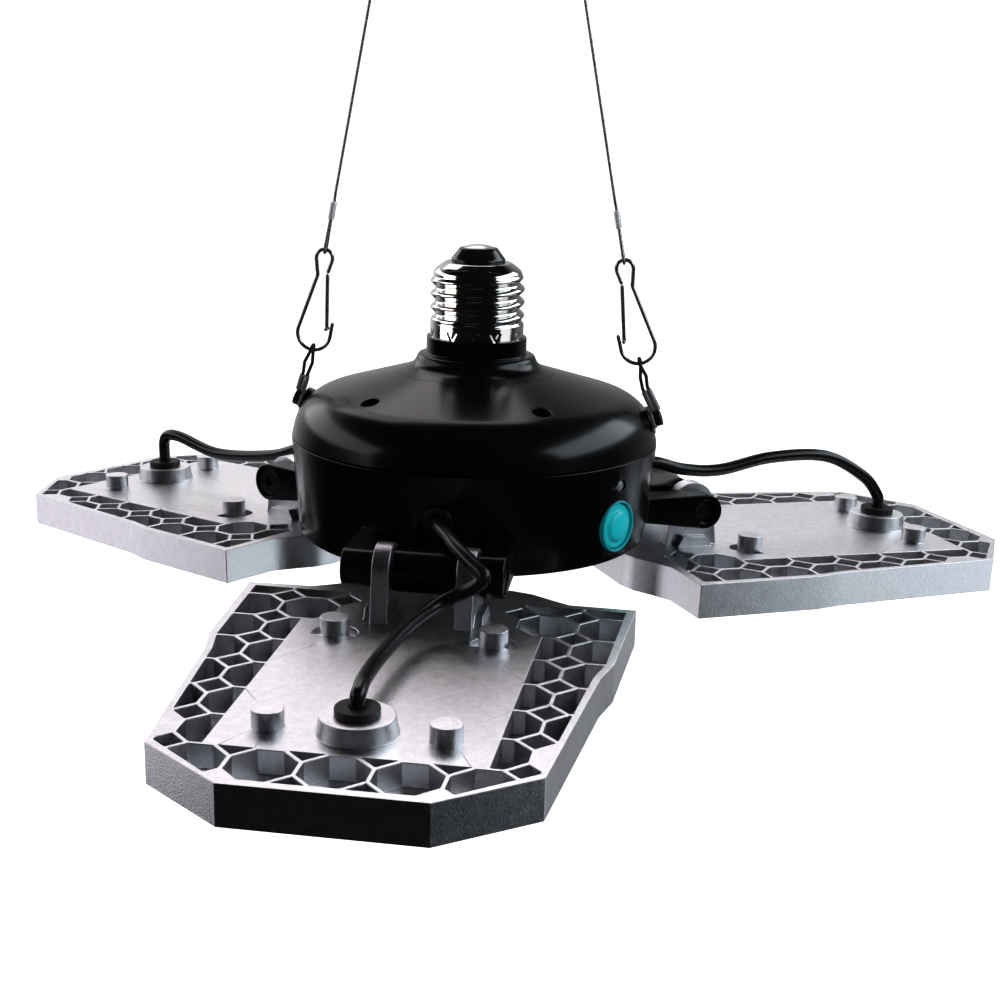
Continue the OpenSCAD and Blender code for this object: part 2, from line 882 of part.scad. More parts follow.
module hook_gate_left() {
    color("silver")
        hook_gate(0);
}

module hook_gate_right() {
    color("silver")
        hook_gate(1);
}

// The rope's own frame: origin at the top of the hook's eye, Z along the rope
module at_rope(i) {
    mirror([1 - i, 0, 0])
        translate(hook_pivots[i])
            rotate([0, -hook_tilts[i], 0])
                translate([-0.6, 0, eye_top_z])
                    rotate([0, hook_tilts[i] - rope_tilts[i], 0])
                        children();
}

upper_from = ferrule_from + rope_l;
thimble_at = upper_from + ferrule_l + thimble_from;

module rope(i) {
    arch = wire_r + 0.08 + rope_r;
    round_r = thimble_r + 0.03 + rope_r;
    s = rope_strand;
    wrap = asin(round_r / norm([s, thimble_from])) - atan2(s, thimble_from);
    lower_top = ferrule_from + ferrule_l;
    upper_top = upper_from + ferrule_l;
    under = [for (a = [0:22.5:180]) arch * [0, -cos(a), -sin(a)]];
    at_rope(i)
        tube(concat([[0, -s, lower_top - 0.4], [0, -s, ferrule_from]], under,
            [[0, s, ferrule_from], [0, s, lower_top], [0, 0, lower_top + 2.5], [0, 0, upper_from - 2.5],
                [-s, 0, upper_from], [-s, 0, upper_top]],
            arc_xz([0, 0, thimble_at], round_r, 180 + wrap, -180 - 2 * wrap, 14),
            [[s, 0, upper_top], [s, 0, upper_from + 0.4]]), rope_r, [1, 1, 0]);
}

module rope_left() {
    color("lightgray")
        rope(0);
}

module rope_right() {
    color("lightgray")
        rope(1);
}

module ferrule(turn) {
    rotate([0, 0, turn])
        difference() {
            for (s = [-1, 1])
                translate([0, s * rope_strand, 0])
                    cylinder(r = ferrule_r, h = ferrule_l);
            for (s = [-1, 1])
                translate([0, s * rope_strand, -1])
                    cylinder(r = rope_r + 0.02, h = ferrule_l + 2);
        }
}

module rope_ferrules(i) {
    at_rope(i) {
        translate([0, 0, ferrule_from])
            ferrule(0);
        translate([0, 0, upper_from])
            ferrule(90);
    }
}

module rope_ferrules_left() {
    color("silver")
        rope_ferrules(0);
}

module rope_ferrules_right() {
    color("silver")
        rope_ferrules(1);
}

module rope_thimble(i) {
    at_rope(i)
        translate([0, 0, thimble_at])
            difference() {
                rod_y(thimble_r, -thimble_t / 2, thimble_t / 2);
                rod_y(thimble_bore_r, -thimble_t, thimble_t);
            }
}

module rope_thimble_left() {
    color("silver")
        rope_thimble(0);
}

module rope_thimble_right() {
    color("silver")
        rope_thimble(1);
}

// ---------------------------------------------------------------- lamp panels

function both_sides(half) =
    concat(half, [for (i = [len(half) - 1:-1:0]) [half[i][0], -half[i][1]]]);

// Hub-side edge and tab in millimetres, the rest in cells from the hinge line
module panel_outline() {
    polygon(both_sides(concat(outline_half, [for (c = outline_cells) c * cell_p])));
}

module rim_inside() {
    polygon(both_sides([for (c = rim_cells) c * cell_p]));
}

function row_u(k) = first_row + k * cell_p;

module octagon(k, j) {
    h = (cell_p - rib_t) / 2;
    q = cell_p - diamond_a - rib_t / sqrt(2);
    translate([row_u(k) + cell_p / 2, j * cell_p])
        polygon([[h, q - h], [q - h, h], [h - q, h], [-h, q - h], [-h, h - q], [h - q, -h], [q - h, -h],
            [h, h - q]]);
}

module diamond(k, j) {
    d = diamond_a - rib_t / sqrt(2);
    translate([row_u(k), j * cell_p])
        polygon([[d, 0], [0, d], [-d, 0], [0, -d]]);
}

module cells() {
    intersection() {
        rim_inside();
        union() {
            for (s = [-1, 1]) {
                for (k = [-1, 0, 6])
                    octagon(k, s * 2);
                for (k = [-1:4])
                    octagon(k, s * 3);
                for (k = [0:6])
                    diamond(k, s * 2.5);
                diamond(0, s * 1.5);
                diamond(7, s * 0.5);
                octagon(6, s);
                intersection() {
                    for (k = [1:5])
                        octagon(k, s * 2);
                    translate([0, s > 0 ? 2 * cell_p : -4 * cell_p])
                        square([6 * cell_p, 2 * cell_p]);
                }
                intersection() {
                    for (j = [0.5, 1.5])
                        diamond(6, s * j);
                    translate([row_u(6), -3 * cell_p])
                        square([cell_p, 6 * cell_p]);
                }
            }
            octagon(6, 0);
        }
    }
}

module arm(s) {
    translate([0, s > 0 ? arm_out : -arm_in, 0])
        rotate([90, 0, 0])
            linear_extrude(arm_t) {
                circle(r = arm_top_r);
                polygon([[-arm_top_r + 0.05, 0.8], [arm_top_r - 0.05, 0.8], [8.7, -top_w - 1],
                    [-7.9, -top_w - 1]]);
            }
    translate([0, s > 0 ? arm_out + 2.2 : -arm_out + 0.1, 0])
        rotate([90, 0, 0])
            linear_extrude(2.3)
                polygon([[-5.5, -top_w - 1], [6.8, -top_w - 1], [4.2, -top_w + 2.8], [-3.4, -top_w + 3]]);
}

module at_posts() {
    for (p = [post_near, post_far], s = [-1, 1])
        translate([p[0], s * p[1], 0])
            children();
}

module heat_sink() {
    difference() {
        union() {
            translate([0, 0, under_w])
                linear_extrude(panel_t)
                    panel_outline();
            for (s = [-1, 1])
                arm(s);
            translate([boss_at, 0, -top_w - 1])
                cylinder(r1 = boss_r + 0.9, r2 = boss_r, h = boss_h + 1);
        }
        translate([0, 0, -top_w - cell_depth])
            linear_extrude(cell_depth + 1)
                cells();
        translate([0, 0, under_w - 1])
            linear_extrude(recess_t + 1)
                rim_inside();
        for (s = [-1, 1])
            intersection() {
                translate([post_near[0], s * post_near[1], -top_w - 2.2])
                    cylinder(r = 5.7, h = 4);
                translate([post_near[0] - 8, s * post_near[1] - 8, -top_w - 3])
                    cube([9.5, 16, 6]);
            }
        rod_y(bolt_d / 2 + pin_fit, -arm_out - 1, arm_out + 1);
        at_posts()
            translate([0, 0, under_w])
                cylinder(r = lens_screw_r, h = panel_t + 1);
        translate([boss_at, 0, -top_w + boss_h - 6])
            cylinder(r = gland_stem_r + 0.02, h = 8);
        translate([boss_at, 0, under_w])
            cylinder(r = lead_r + 0.3, h = panel_t + 1);
    }
    difference() {
        at_posts()
            translate([0, 0, -top_w - 2.6])
                cylinder(r = post_r, h = post_h + 2.6);
        at_posts()
            translate([0, 0, -top_w - 3])
                cylinder(r = lens_screw_r, h = 4);
    }
}

module heat_sink_front() {
    color("silver")
        at_panel(panel_angles[0])
            heat_sink();
}

module heat_sink_right() {
    color("silver")
        at_panel(panel_angles[1])
            heat_sink();
}

module heat_sink_left() {
    color("silver")
        at_panel(panel_angles[2])
            heat_sink();
}

// The rim's inside, drawn in by a share so the part drops into the recess
module recess_plate(t) {
    m = (cell_p * 6.484 + cell_p * 0.886 - 0.6) / (cell_p * 7.37);
    linear_extrude(t)
        translate([cell_p * 2.8 * (1 - m), 0])
            scale(m)
                rim_inside();
}

module led_board() {
    difference() {
        translate([0, 0, under_w + recess_t - board_t])
            recess_plate(board_t);
        at_posts()
            translate([0, 0, under_w])
                cylinder(r = lens_screw_r + 0.2, h = recess_t + 1);
    }
}

module led_board_front() {
    color("white")
        at_panel(panel_angles[0])
            led_board();
}

module led_board_right() {
    color("white")
        at_panel(panel_angles[1])
            led_board();
}

module led_board_left() {
    color("white")
        at_panel(panel_angles[2])
            led_board();
}

module led_chips() {
    for (k = [0:6], j = [-3:3])
        if (abs(j) < 3 || k < 5)
            translate([-4 + k * 14.5 - 1.5, j * 12 - 1.5, under_w + recess_t - board_t - chip_t])
                cube([3, 3, chip_t]);
}

module led_chips_front() {
    color("khaki")
        at_panel(panel_angles[0])
            led_chips();
}

module led_chips_right() {
    color("khaki")
        at_panel(panel_angles[1])
            led_chips();
}

module led_chips_left() {
    color("khaki")
        at_panel(panel_angles[2])
            led_chips();
}

module lens() {
    difference() {
        translate([0, 0, under_w])
            recess_plate(lens_t);
        at_posts() {
            translate([0, 0, under_w - 1])
                cylinder(r = lens_screw_r + 0.1, h = 4);
            translate([0, 0, under_w - 1])
                cylinder(r = lens_head_r + 0.1, h = lens_head_h + 1);
        }
    }
}

module lens_front() {
    color("white", 0.8)
        at_panel(panel_angles[0])
            lens();
}

module lens_right() {
    color("white", 0.8)
        at_panel(panel_angles[1])
            lens();
}

module lens_left() {
    color("white", 0.8)
        at_panel(panel_angles[2])
            lens();
}

module lens_screws() {
    at_posts()
        translate([0, 0, under_w])
            difference() {
                union() {
                    cylinder(r = lens_head_r, h = lens_head_h);
                    cylinder(r = lens_screw_r, h = panel_t + 0.5);
                }
                for (q = [0, 90])
                    rotate([0, 0, q])
                        translate([-1.3, -0.3, -1])
                            cube([2.6, 0.6, 1.5]);
            }
}

module lens_screws_front() {
    color("gray")
        at_panel(panel_angles[0])
            lens_screws();
}

module lens_screws_right() {
    color("gray")
        at_panel(panel_angles[1])
            lens_screws();
}

module lens_screws_left() {
    color("gray")
        at_panel(panel_angles[2])
            lens_screws();
}

module gland() {
    top = -top_w + boss_h;
    translate([boss_at, 0, 0])
        difference() {
            union() {
                translate([0, 0, top])
                    cylinder(r = gland_r, h = gland_h);
                translate([0, 0, top - 5.8])
                    cylinder(r = gland_stem_r, h = 6);
            }
            translate([0, 0, top - 7])
                cylinder(r = lead_r + 0.05, h = 12);
        }
}

module gland_front() {
    color("black")
        at_panel(panel_angles[0])
            gland();
}

module gland_right() {
    color("black")
        at_panel(panel_angles[1])
            gland();
}

module gland_left() {
    color("black")
        at_panel(panel_angles[2])
            gland();
}

// ---------------------------------------------------------------- leads

function between(a, b, c, d, t) =
    (2 * b + (c - a) * t + (2 * a - 5 * b + 4 * c - d) * t * t + (3 * b - a - 3 * c + d) * t * t * t) / 2;

function smooth(p) = let (n = len(p) - 1)
    [for (i = [0:n - 1], t = i > 1 && i < n - 1 ? [0, 0.5] : [0])
        between(p[max(0, i - 1)], p[i], p[i + 1], p[min(n, i + 2)], t), p[n]];

function drooped(p) = [p[0] * cos(droop) + p[2] * sin(droop), p[1], p[2] * cos(droop) - p[0] * sin(droop)];

module lead(way) {
    tube(smooth(concat(lead_inside, [for (p = concat(way, lead_down)) drooped(p)])), lead_r, [1, 0, 1]);
}

module lead_front() {
    color("black")
        at_hinge(panel_angles[0])
            lead(lead_front_way);
}

module lead_right() {
    color("black")
        at_hinge(panel_angles[1])
            lead(lead_right_way);
}

module lead_left() {
    color("black")
        at_hinge(panel_angles[2])
            lead(lead_left_way);
}

// ---------------------------------------------------------------- what is drawn

contact_tip();
base_insulator();
screw_shell();
top_cover();
lower_housing();
cover_screws();
button_membrane();
push_button();
button_switch();
switch_board();
indicator_led();
base_wires();
driver_board();
driver_transformer();
driver_capacitors();
driver_chips();
board_screws();
battery_cells();
battery_cradle();
lead_grommets();
hinge_bolts();
hinge_nuts();
anchor_screws();
anchor_lugs();
cord_loop_left();
cord_loop_right();
snap_hook_left();
snap_hook_right();
hook_gate_left();
hook_gate_right();
rope_left();
rope_right();
rope_ferrules_left();
rope_ferrules_right();
rope_thimble_left();
rope_thimble_right();
heat_sink_front();
heat_sink_right();
heat_sink_left();
led_board_front();
led_board_right();
led_board_left();
led_chips_front();
led_chips_right();
led_chips_left();
lens_front();
lens_right();
lens_left();
lens_screws_front();
lens_screws_right();
lens_screws_left();
gland_front();
gland_right();
gland_left();
lead_front();
lead_right();
lead_left();
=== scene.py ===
# Fold-out garage ceiling light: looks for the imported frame, in metres
import math

import bmesh
import bpy
from mathutils import Matrix, Vector
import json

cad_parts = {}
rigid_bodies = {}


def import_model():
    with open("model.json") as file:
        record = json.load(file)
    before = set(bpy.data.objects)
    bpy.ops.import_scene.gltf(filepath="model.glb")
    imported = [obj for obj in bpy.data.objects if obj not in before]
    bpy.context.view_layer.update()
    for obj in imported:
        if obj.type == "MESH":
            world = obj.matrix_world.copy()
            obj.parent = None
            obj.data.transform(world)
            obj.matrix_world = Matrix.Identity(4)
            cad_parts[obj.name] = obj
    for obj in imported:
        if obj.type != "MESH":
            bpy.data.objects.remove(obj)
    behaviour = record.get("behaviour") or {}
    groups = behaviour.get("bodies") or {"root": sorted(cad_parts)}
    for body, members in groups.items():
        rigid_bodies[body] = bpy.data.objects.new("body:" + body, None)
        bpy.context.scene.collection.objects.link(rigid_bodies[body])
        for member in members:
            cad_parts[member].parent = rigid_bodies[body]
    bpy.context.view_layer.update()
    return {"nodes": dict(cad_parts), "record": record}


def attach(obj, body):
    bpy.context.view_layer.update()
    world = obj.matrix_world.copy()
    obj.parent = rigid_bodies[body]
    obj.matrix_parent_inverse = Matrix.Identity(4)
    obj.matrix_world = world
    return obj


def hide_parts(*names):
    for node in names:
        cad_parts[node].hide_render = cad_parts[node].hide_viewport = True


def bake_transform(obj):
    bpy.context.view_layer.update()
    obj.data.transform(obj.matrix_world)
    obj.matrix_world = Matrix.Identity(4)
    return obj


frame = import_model()
mm = 0.001

# camera
view = {
    "lens": 61.11,
    "sensor": 36.0,
    "place": (0.08129, -0.46239, 0.04861),
    "azimuth": 9.017,
    "elevation": 14.469,
    "roll": 1.508,
    "clip": (0.01, 50),
}


def makeCamera():
    a, e, r = (math.radians(view[k]) for k in ("azimuth", "elevation", "roll"))
    ahead = Vector((-math.sin(a) * math.cos(e), math.cos(a) * math.cos(e), -math.sin(e)))
    level = Vector((math.cos(a), math.sin(a), 0))
    upright = level.cross(ahead)
    right = level * math.cos(r) + upright * math.sin(r)
    up = upright * math.cos(r) - level * math.sin(r)
    data = bpy.data.cameras.new("camera")
    data.lens = view["lens"]
    data.sensor_width = view["sensor"]
    data.clip_start, data.clip_end = view["clip"]
    camera = bpy.data.objects.new("camera", data)
    turn = Matrix((right, up, -ahead)).transposed()
    camera.matrix_world = Matrix.Translation(view["place"]) @ turn.to_4x4()
    bpy.context.scene.collection.objects.link(camera)
    bpy.context.scene.camera = camera


makeCamera()
print("camera set")

# sizes shared with the solids, in millimetres
hinge = {"radius": 63.6, "height": -75.1, "droop": 2.0, "angles": {"front": -90, "right": 30, "left": 150}}
hook = {
    "pivots": {"left": (-47.3, 0, -31.698), "right": (45.8, 0, -30.698)},
    "tilts": {"left": 6.65, "right": 10.4},
    "ropeTilts": {"left": 10.4, "right": 11.0},
    "wire": 0.525,
    "bend": 4.75,
    "eye": 2.3,
    "eyeAt": 26.4,
    "eyeAside": -0.6,
    "waist": (0.8, 21.4),
    "neck": (-2.1, 22.65),
    "tip": (-5.0, 8.15),
    "spacing": 1.4,
}


def mirrored(side):
    return Matrix.Diagonal((1 if side == "right" else -1, 1, 1, 1))


def hingeFrame(name):
    turn = Matrix.Rotation(math.radians(hinge["angles"][name]), 4, "Z")
    return turn @ Matrix.Translation((hinge["radius"], 0, hinge["height"]))


def hookFrame(side):
    tilt = Matrix.Rotation(-math.radians(hook["tilts"][side]), 4, "Y")
    place = Matrix.Translation((abs(hook["pivots"][side][0]), 0, hook["pivots"][side][2]))
    return mirrored(side) @ place @ tilt


def ropeFrame(side):
    lean = Matrix.Rotation(math.radians(hook["tilts"][side] - hook["ropeTilts"][side]), 4, "Y")
    return hookFrame(side) @ Matrix.Translation((hook["eyeAside"], 0, hook["eyeAt"] + hook["eye"])) @ lean


def placed(points, matrix):
    return [(matrix @ Vector(p)) * mm for p in points]


# tubes along a route
def curvedRoute(points, steps):
    # a smooth route through the points, as a list of vectors
    pts = [Vector(p) for p in points]
    out = []
    for i in range(len(pts) - 1):
        a, b, c, d = pts[max(0, i - 1)], pts[i], pts[i + 1], pts[min(len(pts) - 1, i + 2)]
        for k in range(steps):
            t = k / steps
            out.append(0.5 * (2 * b + (c - a) * t + (2 * a - 5 * b + 4 * c - d) * t * t
                              + (3 * b - a - 3 * c + d) * t * t * t))
    out.append(pts[-1])
    return out


def filled(points, longest):
    # extra points on the long straights, so the smooth route doesn't swing out at their ends
    out = [Vector(points[0])]
    for a, b in zip(points, points[1:]):
        a, b = Vector(a), Vector(b)
        n = max(1, math.ceil((b - a).length / longest))
        out += [a.lerp(b, k / n) for k in range(1, n + 1)]
    return out


def tubeMesh(name, routes, radius, sides):
    # one mesh of round tubes along routes in metres, made by the curve's own bevel
    curve = bpy.data.curves.new(name, "CURVE")
    curve.dimensions = "3D"
    curve.bevel_depth = radius * mm
    curve.bevel_resolution = max(0, sides // 4 - 1)
    curve.use_fill_caps = True
    curve.twist_mode = "MINIMUM"
    for route in routes:
        spline = curve.splines.new("POLY")
        spline.points.add(len(route) - 1)
        for point, at in zip(spline.points, route):
            point.co = (*at, 1)
    temporary = bpy.data.objects.new(name + "Way", curve)
    bpy.context.scene.collection.objects.link(temporary)
    evaluated = temporary.evaluated_get(bpy.context.evaluated_depsgraph_get())
    mesh = bpy.data.meshes.new_from_object(evaluated)
    bpy.data.objects.remove(temporary)
    bpy.data.curves.remove(curve)
    mesh.name = name
    return mesh


def showMesh(name, mesh, finish, angle):
    obj = bpy.data.objects.new(name, mesh)
    bpy.context.scene.collection.objects.link(obj)
    mesh.materials.clear()
    mesh.materials.append(finish)
    mesh.shade_smooth()
    mesh.set_sharp_from_angle(angle=math.radians(angle))
    return obj


def bodyOf(node):
    return next(body for body, members in frame["record"]["behaviour"]["bodies"].items() if node in members)


# shared effects as node groups
def addNode(tree, kind, at, **settings):
    node = tree.nodes.new(kind)
    node.location = at
    for key, value in settings.items():
        setattr(node, key, value)
    return node


def newGroup(name, inputs, outputs):
    tree = bpy.data.node_groups.new(name, "ShaderNodeTree")
    for label, kind, value in inputs:
        socket = tree.interface.new_socket(label, in_out="INPUT", socket_type=kind)
        socket.default_value = value
    for label, kind in outputs:
        tree.interface.new_socket(label, in_out="OUTPUT", socket_type=kind)
    return tree, addNode(tree, "NodeGroupInput", (-900, 0)), addNode(tree, "NodeGroupOutput", (700, 0))


grainFacts = {
    "fineDetail": 4,
    "slowDetail": 5,
    "slowRoughness": 0.6,
    "fineShare": 0.45,
    "slowShare": 0.55,
    "span": (0.3, 0.7),
}


def makeGrain():
    # fine grain over slow blotches, as in castings, mouldings and worn plate
    tree, given, out = newGroup(
        "surfaceGrain",
        [("Grain", "NodeSocketFloat", 1500.0),
         ("Blotch", "NodeSocketFloat", 60.0),
         ("Bump", "NodeSocketFloat", 0.2),
         ("Depth", "NodeSocketFloat", 0.0001),
         ("Dark", "NodeSocketColor", (0, 0, 0, 1)),
         ("Light", "NodeSocketColor", (1, 1, 1, 1)),
         ("Smoothest", "NodeSocketFloat", 0.3),
         ("Roughest", "NodeSocketFloat", 0.5)],
        [("Color", "NodeSocketColor"), ("Roughness", "NodeSocketFloat"), ("Normal", "NodeSocketVector")],
    )
    g = grainFacts
    links = tree.links
    where = addNode(tree, "ShaderNodeTexCoord", (-900, 300))
    fine = addNode(tree, "ShaderNodeTexNoise", (-600, 200))
    fine.inputs["Detail"].default_value = g["fineDetail"]
    slow = addNode(tree, "ShaderNodeTexNoise", (-600, -100))
    slow.inputs["Detail"].default_value = g["slowDetail"]
    slow.inputs["Roughness"].default_value = g["slowRoughness"]
    mixed = addNode(tree, "ShaderNodeMath", (-350, 50), operation="MULTIPLY_ADD")
    mixed.inputs[1].default_value = g["fineShare"]
    links.new(where.outputs["Object"], fine.inputs["Vector"])
    links.new(where.outputs["Object"], slow.inputs["Vector"])
    links.new(given.outputs["Grain"], fine.inputs["Scale"])
    links.new(given.outputs["Blotch"], slow.inputs["Scale"])
    weaker = addNode(tree, "ShaderNodeMath", (-450, -250), operation="MULTIPLY")
    weaker.inputs[1].default_value = g["slowShare"]
    links.new(slow.outputs["Fac"], weaker.inputs[0])
    links.new(fine.outputs["Fac"], mixed.inputs[0])
    links.new(weaker.outputs[0], mixed.inputs[2])
    spread = addNode(tree, "ShaderNodeMapRange", (-150, 50))
    spread.inputs["From Min"].default_value = g["span"][0]
    spread.inputs["From Max"].default_value = g["span"][1]
    links.new(mixed.outputs[0], spread.inputs["Value"])
    colour = addNode(tree, "ShaderNodeMix", (100, 200), data_type="RGBA")
    links.new(spread.outputs["Result"], colour.inputs["Factor"])
    links.new(given.outputs["Dark"], colour.inputs["A"])
    links.new(given.outputs["Light"], colour.inputs["B"])
    rough = addNode(tree, "ShaderNodeMapRange", (100, 0))
    links.new(spread.outputs["Result"], rough.inputs["Value"])
    links.new(given.outputs["Smoothest"], rough.inputs["To Min"])
    links.new(given.outputs["Roughest"], rough.inputs["To Max"])
    bump = addNode(tree, "ShaderNodeBump", (100, -250))
    links.new(fine.outputs["Fac"], bump.inputs["Height"])
    links.new(given.outputs["Bump"], bump.inputs["Strength"])
    links.new(given.outputs["Depth"], bump.inputs["Distance"])
    links.new(colour.outputs["Result"], out.inputs["Color"])
    links.new(rough.outputs["Result"], out.inputs["Roughness"])
    links.new(bump.outputs["Normal"], out.inputs["Normal"])
    return tree


grainGroup = makeGrain()

# colours, smoothest and roughest, then grain and blotch per metre, the bump and its depth in metres
finishes = {
    "castAluminium": {"dark": (0.54, 0.54, 0.56), "light": (0.79, 0.79, 0.81), "rough": (0.3, 0.42),
                      "grain": 2200, "blotch": 450, "bump": 0.6, "depth": 0.00012, "metal": 1},
    "hubBlack": {"dark": (0.0016, 0.0016, 0.0018), "light": (0.003, 0.003, 0.0033), "rough": (0.17, 0.23),
                 "grain": 3000, "blotch": 50, "bump": 0.1, "depth": 0.00004, "metal": 0, "specular": 0.36},
    "shellNickel": {"dark": (0.66, 0.64, 0.62), "light": (0.86, 0.85, 0.84), "rough": (0.06, 0.14),
                    "grain": 900, "blotch": 200, "bump": 0.08, "depth": 0.00005, "metal": 1},
    "contactNickel": {"dark": (0.6, 0.58, 0.55), "light": (0.9, 0.89, 0.87), "rough": (0.18, 0.34),
                      "grain": 1200, "blotch": 400, "bump": 0.3, "depth": 0.00008, "metal": 1},
    "insulatorBlack": {"dark": (0.003, 0.003, 0.003), "light": (0.008, 0.008, 0.008), "rough": (0.12, 0.24),
                       "grain": 1200, "blotch": 150, "bump": 0.1, "depth": 0.00005, "metal": 0},
    "screwSteel": {"dark": (0.3, 0.3, 0.31), "light": (0.6, 0.6, 0.62), "rough": (0.25, 0.4),
                   "grain": 2400, "blotch": 300, "bump": 0.25, "depth": 0.00005, "metal": 1},
    "blackSteel": {"dark": (0.004, 0.004, 0.0045), "light": (0.014, 0.014, 0.015), "rough": (0.2, 0.32),
                   "grain": 2400, "blotch": 300, "bump": 0.3, "depth": 0.00006, "metal": 0.3},
    "crimpSteel": {"dark": (0.2, 0.2, 0.205), "light": (0.36, 0.36, 0.37), "rough": (0.28, 0.42),
                   "grain": 2200, "blotch": 400, "bump": 0.35, "depth": 0.00006, "metal": 0.75},
    "hookNickel": {"dark": (0.4, 0.4, 0.41), "light": (0.5, 0.5, 0.51), "rough": (0.2, 0.28),
                   "grain": 900, "blotch": 60, "bump": 0.05, "depth": 0.00004, "metal": 0.95},
    "ropeSteel": {"dark": (0.36, 0.36, 0.37), "light": (0.5, 0.5, 0.51), "rough": (0.25, 0.38),
                  "grain": 4000, "blotch": 100, "bump": 0.1, "depth": 0.00003, "metal": 0.9},
    "ferruleAlloy": {"dark": (0.62, 0.62, 0.64), "light": (0.85, 0.85, 0.87), "rough": (0.3, 0.45),
                     "grain": 2000, "blotch": 500, "bump": 0.4, "depth": 0.00006, "metal": 0.7},
    "rubberBlack": {"dark": (0.004, 0.004, 0.004), "light": (0.009, 0.009, 0.009), "rough": (0.42, 0.58),
                    "grain": 2200, "blotch": 120, "bump": 0.3, "depth": 0.00006, "metal": 0},
    "leadBlack": {"dark": (0.002, 0.002, 0.0022), "light": (0.005, 0.005, 0.0055), "rough": (0.24, 0.34),
                  "grain": 2600, "blotch": 80, "bump": 0.15, "depth": 0.00005, "metal": 0},
    "cordYarn": {"dark": (0.002, 0.002, 0.002), "light": (0.02, 0.02, 0.02), "rough": (0.6, 0.85),
                 "grain": 5000, "blotch": 400, "bump": 0.5, "depth": 0.00004, "metal": 0},
    "siliconeTeal": {"dark": (0.001, 0.4, 0.46), "light": (0.002, 0.52, 0.58), "rough": (0.3, 0.4),
                     "grain": 2600, "blotch": 160, "bump": 0.12, "depth": 0.00004, "metal": 0},
    # the membrane: the button's teal silicone made darker, painted shade on the ring round the raised crown
    "membraneTeal": {"dark": (0.0005, 0.25, 0.3), "light": (0.001, 0.34, 0.4), "rough": (0.34, 0.44),
                     "grain": 2600, "blotch": 160, "bump": 0.12, "depth": 0.00004, "metal": 0},
    "boardGreen": {"dark": (0.012, 0.1, 0.04), "light": (0.02, 0.16, 0.06), "rough": (0.25, 0.4),
                   "grain": 1400, "blotch": 200, "bump": 0.2, "depth": 0.00004, "metal": 0},
    "boardWhite": {"dark": (0.72, 0.73, 0.72), "light": (0.84, 0.85, 0.84), "rough": (0.3, 0.42),
                   "grain": 1800, "blotch": 120, "bump": 0.1, "depth": 0.00003, "metal": 0},
    "phosphor": {"dark": (0.85, 0.62, 0.08), "light": (0.95, 0.78, 0.2), "rough": (0.35, 0.5),
                 "grain": 3000, "blotch": 400, "bump": 0.1, "depth": 0.00002, "metal": 0},
    "plasticGrey": {"dark": (0.05, 0.05, 0.052), "light": (0.09, 0.09, 0.092), "rough": (0.4, 0.55),
                    "grain": 2200, "blotch": 100, "bump": 0.3, "depth": 0.00005, "metal": 0},
    "switchBlack": {"dark": (0.012, 0.012, 0.012), "light": (0.03, 0.03, 0.03), "rough": (0.35, 0.5),
                    "grain": 2200, "blotch": 200, "bump": 0.2, "depth": 0.00004, "metal": 0},
    "wireRed": {"dark": (0.3, 0.02, 0.015), "light": (0.45, 0.03, 0.025), "rough": (0.35, 0.5),
                "grain": 2200, "blotch": 200, "bump": 0.1, "depth": 0.00004, "metal": 0},
    "tapeYellow": {"dark": (0.6, 0.42, 0.05), "light": (0.75, 0.55, 0.09), "rough": (0.25, 0.4),
                   "grain": 900, "blotch": 200, "bump": 0.2, "depth": 0.00006, "metal": 0},
    "sleeveDark": {"dark": (0.02, 0.025, 0.035), "light": (0.04, 0.05, 0.07), "rough": (0.2, 0.35),
                   "grain": 1800, "blotch": 200, "bump": 0.1, "depth": 0.00004, "metal": 0},
    "sleeveBlue": {"dark": (0.01, 0.05, 0.24), "light": (0.02, 0.09, 0.36), "rough": (0.2, 0.32),
                   "grain": 1500, "blotch": 150, "bump": 0.15, "depth": 0.00005, "metal": 0},
}
materials = {}


def newMaterial(name):
    material = bpy.data.materials.new(name)
    material.use_nodes = True
    materials[name] = material
    return material.node_tree, material.node_tree.nodes["Principled BSDF"]


def makeFinish(name, facts):
    tree, shader = newMaterial(name)
    grain = addNode(tree, "ShaderNodeGroup", (-400, 0), node_tree=grainGroup)
    for label in ("Grain", "Blotch", "Bump", "Depth"):
        grain.inputs[label].default_value = facts[label.lower()]
    for label in ("Dark", "Light"):
        grain.inputs[label].default_value = (*facts[label.lower()], 1)
    for label, value in zip(("Smoothest", "Roughest"), facts["rough"]):
        grain.inputs[label].default_value = value
    for label in ("Roughness", "Normal"):
        tree.links.new(grain.outputs[label], shader.inputs[label])
    tree.links.new(grain.outputs["Color"], shader.inputs["Base Color"])
    shader.inputs["Metallic"].default_value = facts["metal"]
    shader.inputs["Specular IOR Level"].default_value = facts.get("specular", 0.5)


diffuser = {"cells": 700, "bump": 0.5, "depth": 0.0002, "rough": (0.25, 0.45),
            "colour": (0.93, 0.94, 0.95, 1), "transmission": 0.7, "ior": 1.49}
indicator = {"cloud": 900, "dark": (0.16, 0.17, 0.19, 1), "light": (0.34, 0.36, 0.4, 1), "rough": 0.12,
             "transmission": 0.35}


